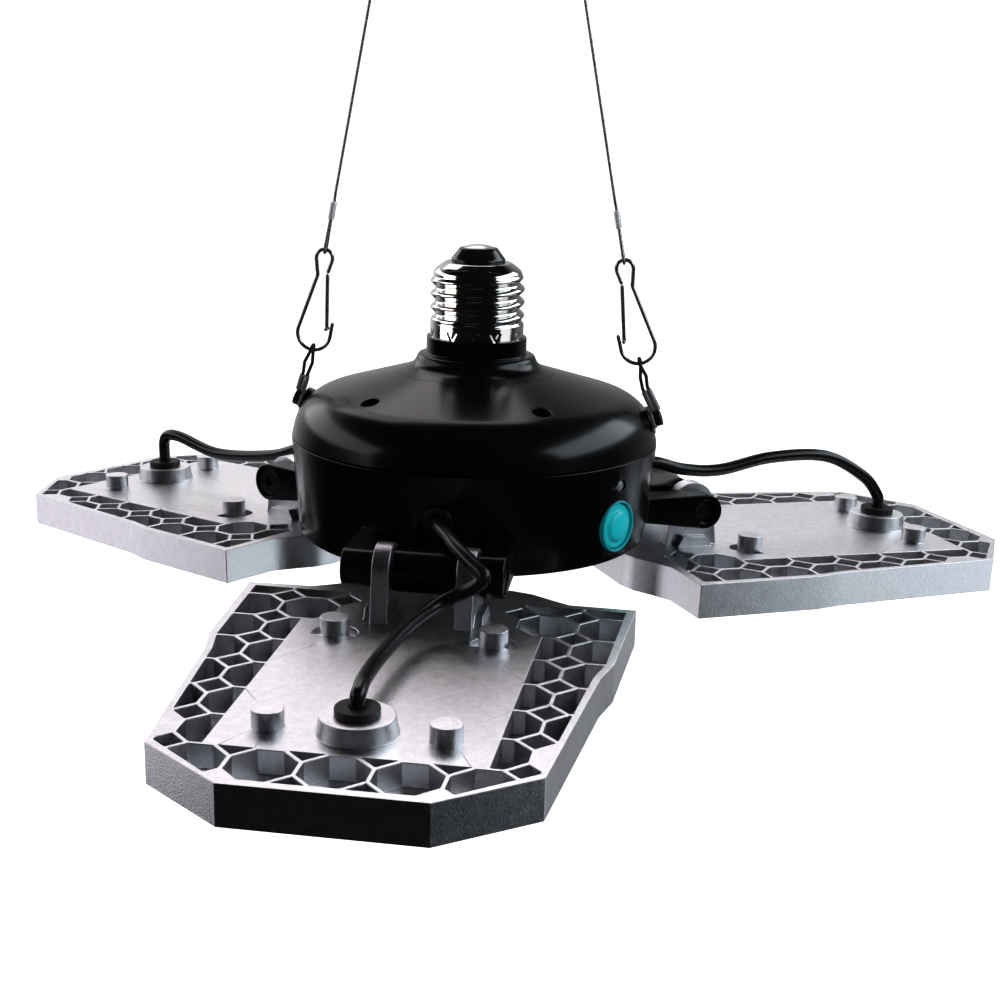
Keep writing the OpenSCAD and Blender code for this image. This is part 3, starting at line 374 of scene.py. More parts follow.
def makeDiffuser():
    # frosted sheet with rows of small prisms
    d = diffuser
    tree, shader = newMaterial("diffuserFrosted")
    where = addNode(tree, "ShaderNodeTexCoord", (-900, 0))
    cells = addNode(tree, "ShaderNodeTexVoronoi", (-700, 0), voronoi_dimensions="2D", distance="CHEBYCHEV")
    cells.inputs["Scale"].default_value = d["cells"]
    cells.inputs["Randomness"].default_value = 0.0  # even rows
    tree.links.new(where.outputs["Object"], cells.inputs["Vector"])
    bump = addNode(tree, "ShaderNodeBump", (-400, -200))
    bump.inputs["Strength"].default_value = d["bump"]
    bump.inputs["Distance"].default_value = d["depth"]
    tree.links.new(cells.outputs["Distance"], bump.inputs["Height"])
    tree.links.new(bump.outputs["Normal"], shader.inputs["Normal"])
    rough = addNode(tree, "ShaderNodeMapRange", (-400, 100))
    rough.inputs["To Min"].default_value = d["rough"][0]
    rough.inputs["To Max"].default_value = d["rough"][1]
    tree.links.new(cells.outputs["Distance"], rough.inputs["Value"])
    tree.links.new(rough.outputs["Result"], shader.inputs["Roughness"])
    shader.inputs["Base Color"].default_value = d["colour"]
    shader.inputs["Transmission Weight"].default_value = d["transmission"]
    shader.inputs["IOR"].default_value = d["ior"]


def makeIndicator():
    # clear epoxy dome with a cloudy core
    tree, shader = newMaterial("indicatorClear")
    where = addNode(tree, "ShaderNodeTexCoord", (-700, 0))
    cloud = addNode(tree, "ShaderNodeTexNoise", (-500, 0))
    cloud.inputs["Scale"].default_value = indicator["cloud"]
    tree.links.new(where.outputs["Object"], cloud.inputs["Vector"])
    colour = addNode(tree, "ShaderNodeMix", (-250, 100), data_type="RGBA")
    colour.inputs["A"].default_value = indicator["dark"]
    colour.inputs["B"].default_value = indicator["light"]
    tree.links.new(cloud.outputs["Fac"], colour.inputs["Factor"])
    tree.links.new(colour.outputs["Result"], shader.inputs["Base Color"])
    shader.inputs["Roughness"].default_value = indicator["rough"]
    shader.inputs["Transmission Weight"].default_value = indicator["transmission"]


for name, facts in finishes.items():
    makeFinish(name, facts)
makeDiffuser()
makeIndicator()
print("finishes made:", len(materials))

# leads, from inside the hub through the wall to each panel's gland
leadWays = {
    "front": [(-7, 1.5, 9.6), (-2, 4.5, 9.2), (4, 8, 8.2), (9, 12.4, 6.4), (12.6, 16.4, 4.2),
              (12.4, 14.6, 1.6), (12, 9.5, -1.4), (16, 4.2, -4), (29, 0.5, -5), (47, -1.2, -4.8),
              (62, -0.8, -3.6), (69.5, -0.1, -3.4)],
    "right": [(-7, 0, 10), (3, 0, 7.6), (15, 0, 7.2), (32, 0, 10.6), (51, 0, 10.6), (65, 0, 4.2),
              (71, 0, -1.8)],
    "left": [(-7, 0, 9.8), (5, 0, 7), (20, 0, 2.4), (45, 0, -0.2), (64, 0, 3.1), (71, 0, 1.8)],
}
leadFacts = {"diameter": 3.6, "sides": 24, "inside": (-21.2, -16.2, -10.7), "exit": -12.2, "past": 12.0,
             "height": 9.5, "end": [(71.9, 0, -5.46), (71.9, 0, -16.96)]}


def makeLead(name):
    f = leadFacts
    droop = Matrix.Rotation(math.radians(hinge["droop"]), 4, "Y")
    inside = [Vector((x, 0, f["height"])) for x in f["inside"]]
    outside = [droop @ Vector(p) for p in leadWays[name] + f["end"]]
    route = placed(curvedRoute(inside + outside, 8), hingeFrame(name))
    mesh = tubeMesh("lead" + name.title(), [route], f["diameter"] / 2, f["sides"])
    lead = showMesh("lead" + name.title(), mesh, materials["leadBlack"], 60)
    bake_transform(lead)
    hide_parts("lead_" + name)


for name in leadWays:
    makeLead(name)
print("leads made")

# steel ropes: a core and six strands, round the hook's eye and the thimble
ropeFacts = {"radius": 0.4, "side": 0.46, "ferruleFrom": 8.6, "ferruleLength": 4.8, "length": 63.0,
             "thimbleFrom": 8.0, "thimbleRadius": 3.7, "strands": 6, "swell": 1.02, "lay": 5.2, "step": 0.3,
             "hookGap": 0.08, "thimbleGap": 0.03, "tail": 0.4, "merge": 2.5, "spacing": 1.2}


def ropeWay(side):
    f = ropeFacts
    s, low = f["side"], f["ferruleFrom"]
    lowTop = low + f["ferruleLength"]
    high = low + f["length"]
    highTop = high + f["ferruleLength"]
    eye = highTop + f["thimbleFrom"]
    arch = hook["wire"] + f["hookGap"] + f["radius"]
    turn = f["thimbleRadius"] + f["thimbleGap"] + f["radius"]
    leaning = math.degrees(math.atan2(s, f["thimbleFrom"]))
    wrap = math.degrees(math.asin(turn / math.hypot(s, f["thimbleFrom"]))) - leaning
    way = [(0, -s, lowTop - f["tail"]), (0, -s, low)]
    for a in range(0, 181, 20):
        way.append((0, -arch * math.cos(math.radians(a)), -arch * math.sin(math.radians(a))))
    way += [(0, s, low), (0, s, lowTop), (0, 0, lowTop + f["merge"]), (0, 0, high - f["merge"])]
    way += [(-s, 0, high), (-s, 0, highTop)]
    for k in range(15):
        a = math.radians(180 + wrap + (-180 - 2 * wrap) * k / 14)
        way.append((turn * math.cos(a), 0, eye + turn * math.sin(a)))
    way += [(s, 0, highTop), (s, 0, high + f["tail"])]
    return placed(filled(way, f["spacing"]), ropeFrame(side))


def evenSteps(route, step):
    # the route again, in equal steps
    out, left = [route[0].copy()], step
    for a, b in zip(route, route[1:]):
        span = (b - a).length
        while left <= span:
            out.append(a.lerp(b, left / span))
            left += step
        left -= span
    return out


def strandsRound(route, radius, count, lay):
    # helices round a route; the frame is carried along it without turning
    before, after = route[:1] + route[:-1], route[1:] + route[-1:]
    tangents = [(b - a).normalized() for a, b in zip(before, after)]
    side = tangents[0].orthogonal().normalized()
    sides = []
    for t in tangents:
        side = (side - t * side.dot(t)).normalized()
        sides.append(side)
    step = (route[1] - route[0]).length
    ways = []
    for k in range(count):
        way = []
        for i, (at, t, n) in enumerate(zip(route, tangents, sides)):
            a = 2 * math.pi * (k / count + i * step / lay)
            way.append(at + radius * (n * math.cos(a) + t.cross(n) * math.sin(a)))
        ways.append(way)
    return ways


def makeRope(side):
    f = ropeFacts
    route = evenSteps(curvedRoute(ropeWay(side), 5), f["step"] * mm)
    strand = f["radius"] / 3
    ways = [route] + strandsRound(route, 2 * strand * mm, f["strands"], f["lay"] * mm)
    mesh = tubeMesh("rope" + side.title(), ways, strand * f["swell"], 8)
    rope = showMesh("rope" + side.title(), mesh, materials["ropeSteel"], 60)
    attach(rope, "hook_" + side)
    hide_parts("rope_" + side)
    return rope, route


ropes = {side: makeRope(side) for side in ("left", "right")}
print("ropes made")

# snap hooks: one bent wire each, with its free leg
gateFacts = {"top": (-2.05, 21.55), "end": (-3.55, 6.6), "barHalf": 1.2, "step": 0.5}


def arcXZ(centre, radius, start, sweep, steps):
    out = []
    for k in range(steps + 1):
        a = math.radians(start + sweep * k / steps)
        out.append((centre[0] + radius * math.cos(a), centre[1], centre[2] + radius * math.sin(a)))
    return out


def roundEnds(mesh, ends, radius):
    # a small ball closes each end of a wire
    bm = bmesh.new()
    bm.from_mesh(mesh)
    for at in ends:
        place = Matrix.Translation(at)
        bmesh.ops.create_uvsphere(bm, u_segments=16, v_segments=8, radius=radius * mm, matrix=place)
    bm.to_mesh(mesh)
    bm.free()


def makeHook(side):
    r, bend, eye, aside = (hook[k] for k in ("wire", "bend", "eye", "eyeAside"))
    tip, waist, neck = (hook[k] for k in ("tip", "waist", "neck"))
    below = hook["eyeAt"] - 0.4  # where the wire starts to close into the eye
    way = [(tip[0], 0, tip[1])] + arcXZ((0, 0, bend), bend, 180, 193, 22)
    way += [(waist[0], 0, waist[1]), (aside + eye, 0, below)]
    way += arcXZ((aside, 0, hook["eyeAt"]), eye, 0, 180, 12)
    way += [(aside - eye, 0, below), (neck[0], 0, neck[1])]
    route = placed(curvedRoute(filled(way, hook["spacing"]), 3), hookFrame(side))
    mesh = tubeMesh("hook" + side.title(), [route], r, 16)
    roundEnds(mesh, (route[0], route[-1]), r)
    wire = showMesh("hook" + side.title(), mesh, materials["hookNickel"], 60)
    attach(wire, "hook_" + side)
    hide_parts("snap_hook_" + side)
    top, end, half = gateFacts["top"], gateFacts["end"], gateFacts["barHalf"]
    leg = placed([(top[0], 0, top[1]), (end[0], 0, end[1])], hookFrame(side))
    bar = placed([(end[0], -half, end[1]), (end[0], half, end[1])], hookFrame(side))
    mesh = tubeMesh("gate" + side.title(), [evenSteps(leg, gateFacts["step"] * mm) + [leg[1]], bar], r, 16)
    roundEnds(mesh, (*leg, *bar), r)
    gate = showMesh("gate" + side.title(), mesh, materials["hookNickel"], 60)
    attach(gate, "gate_" + side)
    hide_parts("hook_gate_" + side)


for side in ("left", "right"):
    makeHook(side)
print("hooks made")

# cord loops: two sets of crossing strands over a core, from the crimps up round the hooks' bends
cordFacts = {"radius": 0.5, "apart": 0.72, "grip": 2.2, "gap": 0.4, "start": (50.8, 0, -43.798),
             "ends": {"left": (49.4, 0, -39.098), "right": (47.8, 0, -38.098)}, "past": 0.8,
             "spread": (1.3, 0.75), "strand": 0.14, "count": 5, "lay": 2.6, "step": 0.12, "spacing": 1.2}


def cordWay(side):
    f = cordFacts
    end, across = Vector(f["ends"][side]), Vector((0, 1, 0))
    pivot = Vector((abs(hook["pivots"][side][0]), 0, hook["pivots"][side][2]))
    along = (end - Vector(f["start"])).normalized()
    up = (pivot - end).normalized()
    aside = f["apart"] * along.cross(across)
    spread = aside * f["spread"][0] + across * f["spread"][1]
    middle = (end + pivot) / 2
    arch = hook["wire"] + f["gap"] + f["radius"]
    way = [end - along * f["grip"] - aside, end - aside, end + along * f["past"] - aside, middle - spread]
    for a in range(0, 181, 20):
        way.append(pivot + arch * (up * math.sin(math.radians(a)) - across * math.cos(math.radians(a))))
    way += [middle + spread, end + along * f["past"] + aside, end + aside, end - along * f["grip"] + aside]
    return placed(filled(way, f["spacing"]), mirrored(side))


def makeCordLoop(side):
    f = cordFacts
    node = "cord_loop_" + side
    route = evenSteps(curvedRoute(cordWay(side), 5), f["step"] * mm)
    reach, lay = (f["radius"] - f["strand"]) * mm, f["lay"] * mm
    ways = strandsRound(route, reach, f["count"], lay) + strandsRound(route, reach, f["count"], -lay)
    mesh = tubeMesh("cordLoop" + side.title(), ways, f["strand"], 8)
    core = tubeMesh("cordCore" + side.title(), [route], f["radius"] - f["strand"], 12)
    bm = bmesh.new()
    bm.from_mesh(mesh)
    bm.from_mesh(core)
    bm.to_mesh(mesh)
    bm.free()
    bpy.data.meshes.remove(core)
    loop = showMesh("cordLoop" + side.title(), mesh, materials["cordYarn"], 60)
    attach(loop, bodyOf(node))
    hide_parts(node)


for side in ("left", "right"):
    makeCordLoop(side)
print("cord loops made")

# rigid parts: the solids' own shape with moulded or machined edges; angles in degrees, weld in metres
edgeFacts = {"weld": 2e-6, "flat": 0.05, "soft": (1, 35), "steps": 2}


def plainRegions(bm):
    # groups of faces that lie in one plane, side by side
    flat = math.radians(edgeFacts["flat"])
    met, regions = set(), []
    for start in bm.faces:
        if start in met:
            continue
        met.add(start)
        region = [start]
        for face in region:  # the list grows as it is read
            for edge in face.edges:
                if edge.is_manifold and edge.calc_face_angle(1) < flat:
                    for other in edge.link_faces:
                        if other not in met:
                            met.add(other)
                            region.append(other)
        regions.append(region)
    return regions


def isDisc(region):
    # one plain outline, with no hole and no pinch
    faces = set(region)
    edges = {edge for face in region for edge in face.edges}
    verts = {vert for face in region for vert in face.verts}
    rim = [edge for edge in edges if sum(face in faces for face in edge.link_faces) == 1]
    ends = {}
    for edge in rim:
        for vert in edge.verts:
            ends[vert] = ends.get(vert, 0) + 1
    whole = len(verts) - len(edges) + len(region) == 1
    return whole and len(ends) == len(verts) and set(ends.values()) == {2}


def mergedCopy(node):
    # welded, with each plain face that has no hole made one face again
    bm = bmesh.new()
    bm.from_mesh(frame["nodes"][node].data)
    bmesh.ops.remove_doubles(bm, verts=bm.verts, dist=edgeFacts["weld"])
    bm.normal_update()
    for region in plainRegions(bm):
        if len(region) == 2 or len(region) > 2 and isDisc(region):
            bmesh.ops.dissolve_faces(bm, faces=region, use_verts=False)
    return bm


def flattenPlanes(mesh):
    # plain faces are shaded flat, so only the curved ones take soft normals
    least, most = (math.radians(angle) for angle in edgeFacts["soft"])
    bm = bmesh.new()
    bm.from_mesh(mesh)
    for face in bm.faces:
        face.smooth = any(least < edge.calc_face_angle(0) < most for edge in face.edges)
    bm.to_mesh(mesh)
    bm.free()


def finishPiece(name, bm, node, finish, edgeRadius=0.0, angle=30, smooth=35):
    mesh = bpy.data.meshes.new(name)
    bm.to_mesh(mesh)
    bm.free()
    obj = showMesh(name, mesh, materials[finish], smooth)
    if finish == "castAluminium":
        flattenPlanes(mesh)
    if edgeRadius:
        edge = obj.modifiers.new("edges", "BEVEL")
        edge.width = edgeRadius * mm
        edge.segments = edgeFacts["steps"]
        edge.limit_method = "ANGLE"
        edge.angle_limit = math.radians(angle)
        edge.use_clamp_overlap = False
        edge.miter_outer = "MITER_ARC"
        edge.face_strength_mode = "FSTR_ALL"
        flat = obj.modifiers.new("flatFaces", "WEIGHTED_NORMAL")
        flat.weight = 100
        flat.keep_sharp = False
        flat.use_face_influence = True
    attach(obj, bodyOf(node))
    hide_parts(node)
    return obj


rounded = [
    # node, finish, slot, radius of its edges in mm
    ("contact_tip", "contactNickel", "contact_nickel", 0.15),
    ("base_insulator", "insulatorBlack", "insulator_black", 0.3),
    ("lower_housing", "hubBlack", "hub_black", 0.35),
    ("cover_screws", "blackSteel", "screw_steel", 0.12),
    ("button_membrane", "membraneTeal", "button_teal", 0.25),
    ("lead_grommets", "leadBlack", "rubber_black", 0.3),
    ("hinge_bolts", "blackSteel", "screw_steel", 0.25),
    ("hinge_nuts", "blackSteel", "screw_steel", 0.15),
    ("anchor_screws", "blackSteel", "anchor_black", 0.2),
    ("anchor_lugs", "crimpSteel", "anchor_black", 0.15),
]
for name in ("front", "right", "left"):
    rounded += [
        ("heat_sink_" + name, "castAluminium", "cast_aluminium", 0.22),
        ("gland_" + name, "rubberBlack", "rubber_black", 0.3),
        ("lens_screws_" + name, "screwSteel", "screw_steel", 0.12),
    ]
for side in ("left", "right"):
    rounded += [
        ("rope_ferrules_" + side, "ferruleAlloy", "ferrule_alloy", 0.12),
        ("rope_thimble_" + side, "hookNickel", "hook_nickel", 0.2),
    ]
for node, finish, slot, radius in rounded:
    first, *others = node.split("_")
    pieceName = first + "".join(word.title() for word in others) + "Piece"
    finishPiece(pieceName, mergedCopy(node), node, finish, radius)
print("rigid parts made")

# screw shell: one turned sheet, its thread rolled in, with staking dents round the skirt
shell = {"skirt": 13.0, "mid": 12.425, "depth": 0.675, "ease": 0.05, "fade": 1.6,
         "shoulder": 9.2, "shoulderZ": -4.9, "shoulderDrop": 3.2, "shoulderRise": 3.1, "skirtZ": -21.5,
         "low": -27.5, "pitch": 3.63, "firstCrest": -9.3, "bore": 11.1, "hole": 7.0, "inside": -6.9,
         "turns": 300, "step": 0.14}
dents = {"angles": (-151, -112, -84, -57, -20, 20, 57, 90, 120, 160), "z": -24.4, "depth": 0.2,
         "low": -0.9, "high": 1.3, "reach": 1.5, "lean": 0.55, "half": 0.42}


# the thread fades out into the shoulder above it and the plain skirt below
def shellRadius(z, a):
    s = shell
    drop = s["shoulderDrop"]
    fadeTop = max(0, min(1, (s["shoulderZ"] - drop - z) / s["fade"]))
    fadeLow = max(0, min(1, (z - s["skirtZ"]) / s["fade"]))
    if z > s["shoulderZ"] - drop:
        bow = math.sin(math.radians(90 * min(1, (s["shoulderZ"] - z) / drop)))
        mean = s["shoulder"] + s["shoulderRise"] * bow
    elif z < s["skirtZ"]:
        mean = s["skirt"]
    else:
        mean = s["mid"] - s["ease"] + (s["skirt"] - s["mid"]) * max(0, 1 - (z - s["skirtZ"]) / s["fade"])
    wave = math.cos(2 * math.pi * (z - s["firstCrest"]) / s["pitch"] - a - math.pi / 2)
    return mean + fadeTop * fadeLow * s["depth"] * wave


def dentAt(z, a):
    # a small V pressed in, its point down
    d = dents
    depth = 0
    for degrees in d["angles"]:
        off = (math.degrees(a) - degrees + 180) % 360 - 180
        x, up = abs(math.radians(off)) * shell["skirt"], z - d["z"]
        if x < d["reach"] and d["low"] < up < d["high"]:
            away = abs(x - d["lean"] * (up - d["low"])) / d["half"]
            depth = max(depth, d["depth"] * max(0, 1 - away * away))
    return depth


def turned(points, axis, steps, closed=True):
    # a line of points in millimetres, spun once round an axis through the origin
    bm = bmesh.new()
    section = [bm.verts.new(point) for point in points]
    following = section[1:] + section[:1] if closed else section[1:]
    edges = [bm.edges.new(pair) for pair in zip(section, following)]
    bmesh.ops.spin(bm, geom=section + edges, cent=(0, 0, 0), axis=axis, angle=2 * math.pi, steps=steps,
                   use_merge=True, use_duplicate=False)
    bmesh.ops.remove_doubles(bm, verts=bm.verts, dist=1e-4)
    return bm


def makeShell():
    s = shell
    n = round((s["shoulderZ"] - s["low"]) / s["step"])
    outside = [(s["mid"], s["shoulderZ"] + (s["low"] - s["shoulderZ"]) * k / n) for k in range(n + 1)]
    inside = [(s["bore"], s["low"]), (s["bore"], s["inside"]), (s["hole"], s["inside"])]
    inside += [(s["hole"], s["shoulderZ"])]
    bm = turned([(r, 0, z) for r, z in outside + inside], (0, 0, 1), s["turns"])
    for vert in bm.verts:
        x, y, z = vert.co
        if abs(math.hypot(x, y) - s["mid"]) < 0.01:
            a = math.atan2(y, x)
            r = shellRadius(z, a) - dentAt(z, a)
            vert.co = (r * math.cos(a), r * math.sin(a), z)
    bmesh.ops.recalc_face_normals(bm, faces=bm.faces)
    bmesh.ops.scale(bm, verts=bm.verts, vec=(mm, mm, mm))
    finishPiece("screwShellPiece", bm, "screw_shell", "shellNickel", smooth=50)


makeShell()
print("screw shell made")

# push button: a small raised crown on a wide soft disc
buttonFacts = {
    "turn": -29.5, "height": -70.7, "wall": 49.9, "back": 45.6, "crown": 1.7, "crownRadius": 12.0,
    "raised": 3.7, "turns": 72,
    # radius and distance, first from the back, then from the hub's wall
    "behind": [(0, 0), (6.9, 0), (6.9, 0.8), (5.4, 0.8), (5.4, 1.5), (6.0, 1.5)],
    "face": [(6.0, -0.12), (5.92, 0.02), (5.7, 0.07), (4.75, 0.03), (4.5, 0.08), (4.3, 0.22), (4.1, 0.62),
             (3.95, 0.86)],
}


def makeButton():
    b = buttonFacts
    squared = b["crownRadius"] ** 2
    profile = [(r, b["back"] + x) for r, x in b["behind"]] + [(r, b["wall"] + x) for r, x in b["face"]]
    for k in range(8):
        r = b["raised"] * (1 - k / 7)
        profile.append((r, b["wall"] + b["crown"] - b["crownRadius"] + math.sqrt(squared - r * r)))
    bm = turned([(x, r, 0) for r, x in profile], (1, 0, 0), b["turns"], closed=False)
    bmesh.ops.recalc_face_normals(bm, faces=bm.faces)
    place = Matrix.Rotation(math.radians(b["turn"]), 4, "Z") @ Matrix.Translation((0, 0, b["height"]))
    bmesh.ops.transform(bm, matrix=Matrix.Scale(mm, 4) @ place, verts=bm.verts)
    finishPiece("pushButtonPiece", bm, "push_button", "siliconeTeal", smooth=50)


makeButton()
print("button made")

# top cover: one turned shell with a broad shoulder and a flared neck, its bosses and bores cut after
dome = {"neck": 17.3, "neckZ": -33.6, "rim": 51.3, "seam": -53.5, "gap": 0.15, "slope": 0.295,
        "side": 0.231, "slopeInset": 1.043, "sideInset": 1.026, "shoulder": 13.0, "wall": 2.5,
        "innerNeck": (8.2, -36.21), "turns": 192}
coverNeck = [(8.2, -10), (11.05, -10), (11.05, -27.6), (13.02, -27.6), (13.02, -25.3), (13.95, -25.3),
             (13.95, -29.9), (14.6, -30.1), (15.5, -30.15), (16.1, -30.4), (16.5, -30.9), (16.75, -31.6),
             (17.1, -32.3), (17.7, -33.0), (18.7, -33.75), (20.2, -34.35), (22.4, -35.08)]
coverScrews = {"ring": 38.2, "angles": (-127, -53, 53, 127), "boss": 3.8, "split": -48.0, "top": -41.5,
               "bore": 1.35, "head": 2.5, "headFrom": -45.1, "headPast": 12, "borePast": 1}
anchor = {"place": (49.7, 0, -46.298), "tilt": 20, "boss": 4.0, "bossFrom": -8, "bore": 1.52,
          "boreFrom": -7, "boreTo": 3}


def shoulderLine(inset, radius, reach):
    # slope, shoulder and side of the cover, all inset; starts at the neck's radius and stops above the seam
    d = dome
    start = Vector((d["neck"], d["neckZ"] - inset * d["slopeInset"]))
    rim = d["rim"] - inset * d["sideInset"]
    k = d["slope"] * d["side"]
    z = (start.y - d["slope"] * (rim - start.x) - k * d["seam"]) / (1 - k)
    corner = Vector((rim - d["side"] * (z - d["seam"]), z))
    up, down = Vector((-1, d["slope"])).normalized(), Vector((d["side"], -1)).normalized()
    half = math.acos(up.dot(down)) / 2
    centre = corner + (up + down).normalized() * radius / math.sin(half)
    first, last = corner + up * radius / math.tan(half), corner + down * radius / math.tan(half)
    a, b = math.atan2(*reversed(first - centre)), math.atan2(*reversed(last - centre))
    slope = [start.lerp(first, t / 12) for t in range(reach, 12)]
    turns = [a + (b - a) * t / 20 for t in range(21)]
    bend = [centre + radius * Vector((math.cos(turn), math.sin(turn))) for turn in turns]
    foot = d["seam"] + d["gap"]
    end = Vector((rim - d["side"] * (foot - d["seam"]), foot))
    return [(p.x, p.y) for p in slope + bend + [last.lerp(end, 0.5), end]]


def addRod(bm, radius, low, high, matrix):
    # a round bar along the matrix's own Z
    made = bmesh.ops.create_cone(bm, cap_ends=True, segments=48, radius1=radius, radius2=radius,
                                 depth=high - low)
    place = matrix @ Matrix.Translation((0, 0, (low + high) / 2))
    bmesh.ops.transform(bm, matrix=place, verts=made["verts"])


def combine(obj, operation, rods):
    # adds or cuts round bars, each given as radius, low, high and place
    bm = bmesh.new()
    for radius, low, high, matrix in rods:
        addRod(bm, radius, low, high, matrix)
    bmesh.ops.scale(bm, verts=bm.verts, vec=(mm, mm, mm))
    mesh = bpy.data.meshes.new("rods")
    bm.to_mesh(mesh)
    bm.free()
    tool = bpy.data.objects.new("rods", mesh)
    bpy.context.scene.collection.objects.link(tool)
    step = obj.modifiers.new("rods", "BOOLEAN")
    step.operation = operation
    step.solver = "EXACT"
    step.object = tool
    bpy.context.view_layer.update()
    result = bpy.data.meshes.new_from_object(obj.evaluated_get(bpy.context.evaluated_depsgraph_get()))
    obj.modifiers.clear()
    old = obj.data
    obj.data = result
    bpy.data.meshes.remove(old)
    bpy.data.objects.remove(tool)
    bpy.data.meshes.remove(mesh)


def makeCover():
    outside = coverNeck + shoulderLine(0, dome["shoulder"], 2)
    inside = shoulderLine(dome["wall"], dome["shoulder"] - dome["wall"], 0)[::-1] + [dome["innerNeck"]]
    bm = turned([(r, 0, z) for r, z in outside + inside], (0, 0, 1), dome["turns"])
    bmesh.ops.recalc_face_normals(bm, faces=bm.faces)
    bmesh.ops.scale(bm, verts=bm.verts, vec=(mm, mm, mm))
    mesh = bpy.data.meshes.new("cover")
    bm.to_mesh(mesh)
    bm.free()
    cover = bpy.data.objects.new("cover", mesh)
    bpy.context.scene.collection.objects.link(cover)
    c, n = coverScrews, anchor
    out = Matrix.Translation((c["ring"], 0, 0))
    spots = [Matrix.Rotation(math.radians(angle), 4, "Z") @ out for angle in c["angles"]]
    lean = Matrix.Rotation(math.radians(90 - n["tilt"]), 4, "Y")
    sides = [mirrored(side) @ Matrix.Translation(n["place"]) @ lean for side in ("left", "right")]
    combine(cover, "UNION", [(c["boss"], c["split"], c["top"], at) for at in spots]
            + [(n["boss"], n["bossFrom"], 0, at) for at in sides])
    combine(cover, "DIFFERENCE", [(c["head"], c["headFrom"], c["top"] + c["headPast"], at) for at in spots]
            + [(n["bore"], n["boreFrom"], n["boreTo"], at) for at in sides])
    combine(cover, "DIFFERENCE", [(c["bore"], c["split"] - c["borePast"], c["headFrom"] + c["borePast"], at)
                                  for at in spots])
    bm = bmesh.new()
    bm.from_mesh(cover.data)
    bpy.data.objects.remove(cover)
    piece = finishPiece("topCoverPiece", bm, "top_cover", "hubBlack", 0.22,
                        angle=38, smooth=38)
    print("cover:", len(piece.data.polygons), "faces")


makeCover()

# the rest keep their solids and get a finish
kept = {
    "button_switch": "switchBlack", "switch_board": "boardGreen",
    "indicator_led": "indicatorClear", "base_wires": "wireRed", "driver_board": "boardGreen",
    "driver_transformer": "tapeYellow", "driver_capacitors": "sleeveDark", "driver_chips": "switchBlack",
    "board_screws": "screwSteel", "battery_cells": "sleeveBlue", "battery_cradle": "plasticGrey",
}
for name in ("front", "right", "left"):
    kept["led_board_" + name] = "boardWhite"
    kept["led_chips_" + name] = "phosphor"
    kept["lens_" + name] = "diffuserFrosted"
for node, finish in kept.items():
    data = frame["nodes"][node].data
    data.materials.clear()
    data.materials.append(materials[finish])

# floor and light
studio = {"floor": -0.9, "floorRadius": 6.0, "floorTone": (0.9, 0.9, 0.9, 1), "floorRoughness": 0.9,
          "aim": (0, 0, -0.06), "exposure": 0.2, "gamma": 0.86}
softboxes = [
    # name, direction of the light, distance, width and height, radiance, tint
    ("softboxLeft", (-0.93, 0.12, 0.36), 0.9, (1.6, 0.36), 1.4, (1.0, 0.965, 1.02)),
    ("softboxRight", (0.82, 0.2, 0.52), 0.9, (1.3, 0.4), 2.75, (0.88, 0.98, 1.06)),
    ("softboxBack", (-0.28, 0.6, 0.75), 0.9, (0.6, 0.46), 1.4, (1.04, 0.97, 1.0)),
]
lowBoxes = [
    # flagged off the black mouldings, so they light the metal alone
    ("lowLeft", (-0.97, 0.12, -0.2), 0.85, (0.62, 0.5), 1.12, (1.0, 0.96, 1.03)),
    ("lowRight", (0.98, 0.03, -0.2), 0.85, (0.56, 0.5), 1.35, (0.9, 0.98, 1.05)),
    ("backLeft", (-0.55, 0.85, -0.16), 1.3, (0.9, 1.6), 0.58, (1.03, 0.98, 1.0)),
    ("backHigh", (0.08, 0.72, 0.69), 1.1, (0.8, 0.45), 2.1, (1.03, 0.98, 0.99)),
    ("backRight", (0.27, 0.95, -0.1), 1.2, (0.8, 1.8), 0.34, (0.97, 0.99, 1.02)),
]
baseBoxes = [
    # near the screw base, for its plating alone
    ("baseLeft", (-0.93, -0.32, 0.1), 0.5, (0.34, 0.42), 2.4, (1.0, 0.98, 0.95)),
    ("baseRight", (0.99, -0.06, 0.1), 0.5, (0.3, 0.42), 1.0, (0.97, 1.0, 1.0)),
]
fills = [
    # soft light without reflections of its own
    ("fillRight", (0.62, -0.62, 0.42), 0.9, (0.6, 0.6), 2.2, (0.97, 1.0, 1.0)),
    ("fillLeft", (-0.7, -0.5, 0.35), 0.9, (0.6, 0.6), 1.2, (1.0, 1.0, 1.0)),
]
bare = ("castAluminium", "ferruleAlloy", "crimpSteel", "screwSteel")
plated = ("shellNickel", "contactNickel")
room = {
    # each fades between two values on one axis of the direction, from the third strength to the fourth
    "rise": (-0.38, -0.24, 0.0, 1.0),
    "fall": (0.42, 0.74, 1.0, 0.0),
    "back": (0.15, 0.8, 0.0, 1.0),
    "aside": (-0.45, 0.3, 0.7, 0.2),
    "under": (-0.95, -0.6, 0.06, 0.0),
    # even light for matt surfaces and for reflections
    "diffuse": 0.4,
    "glossy": 0.006,
}


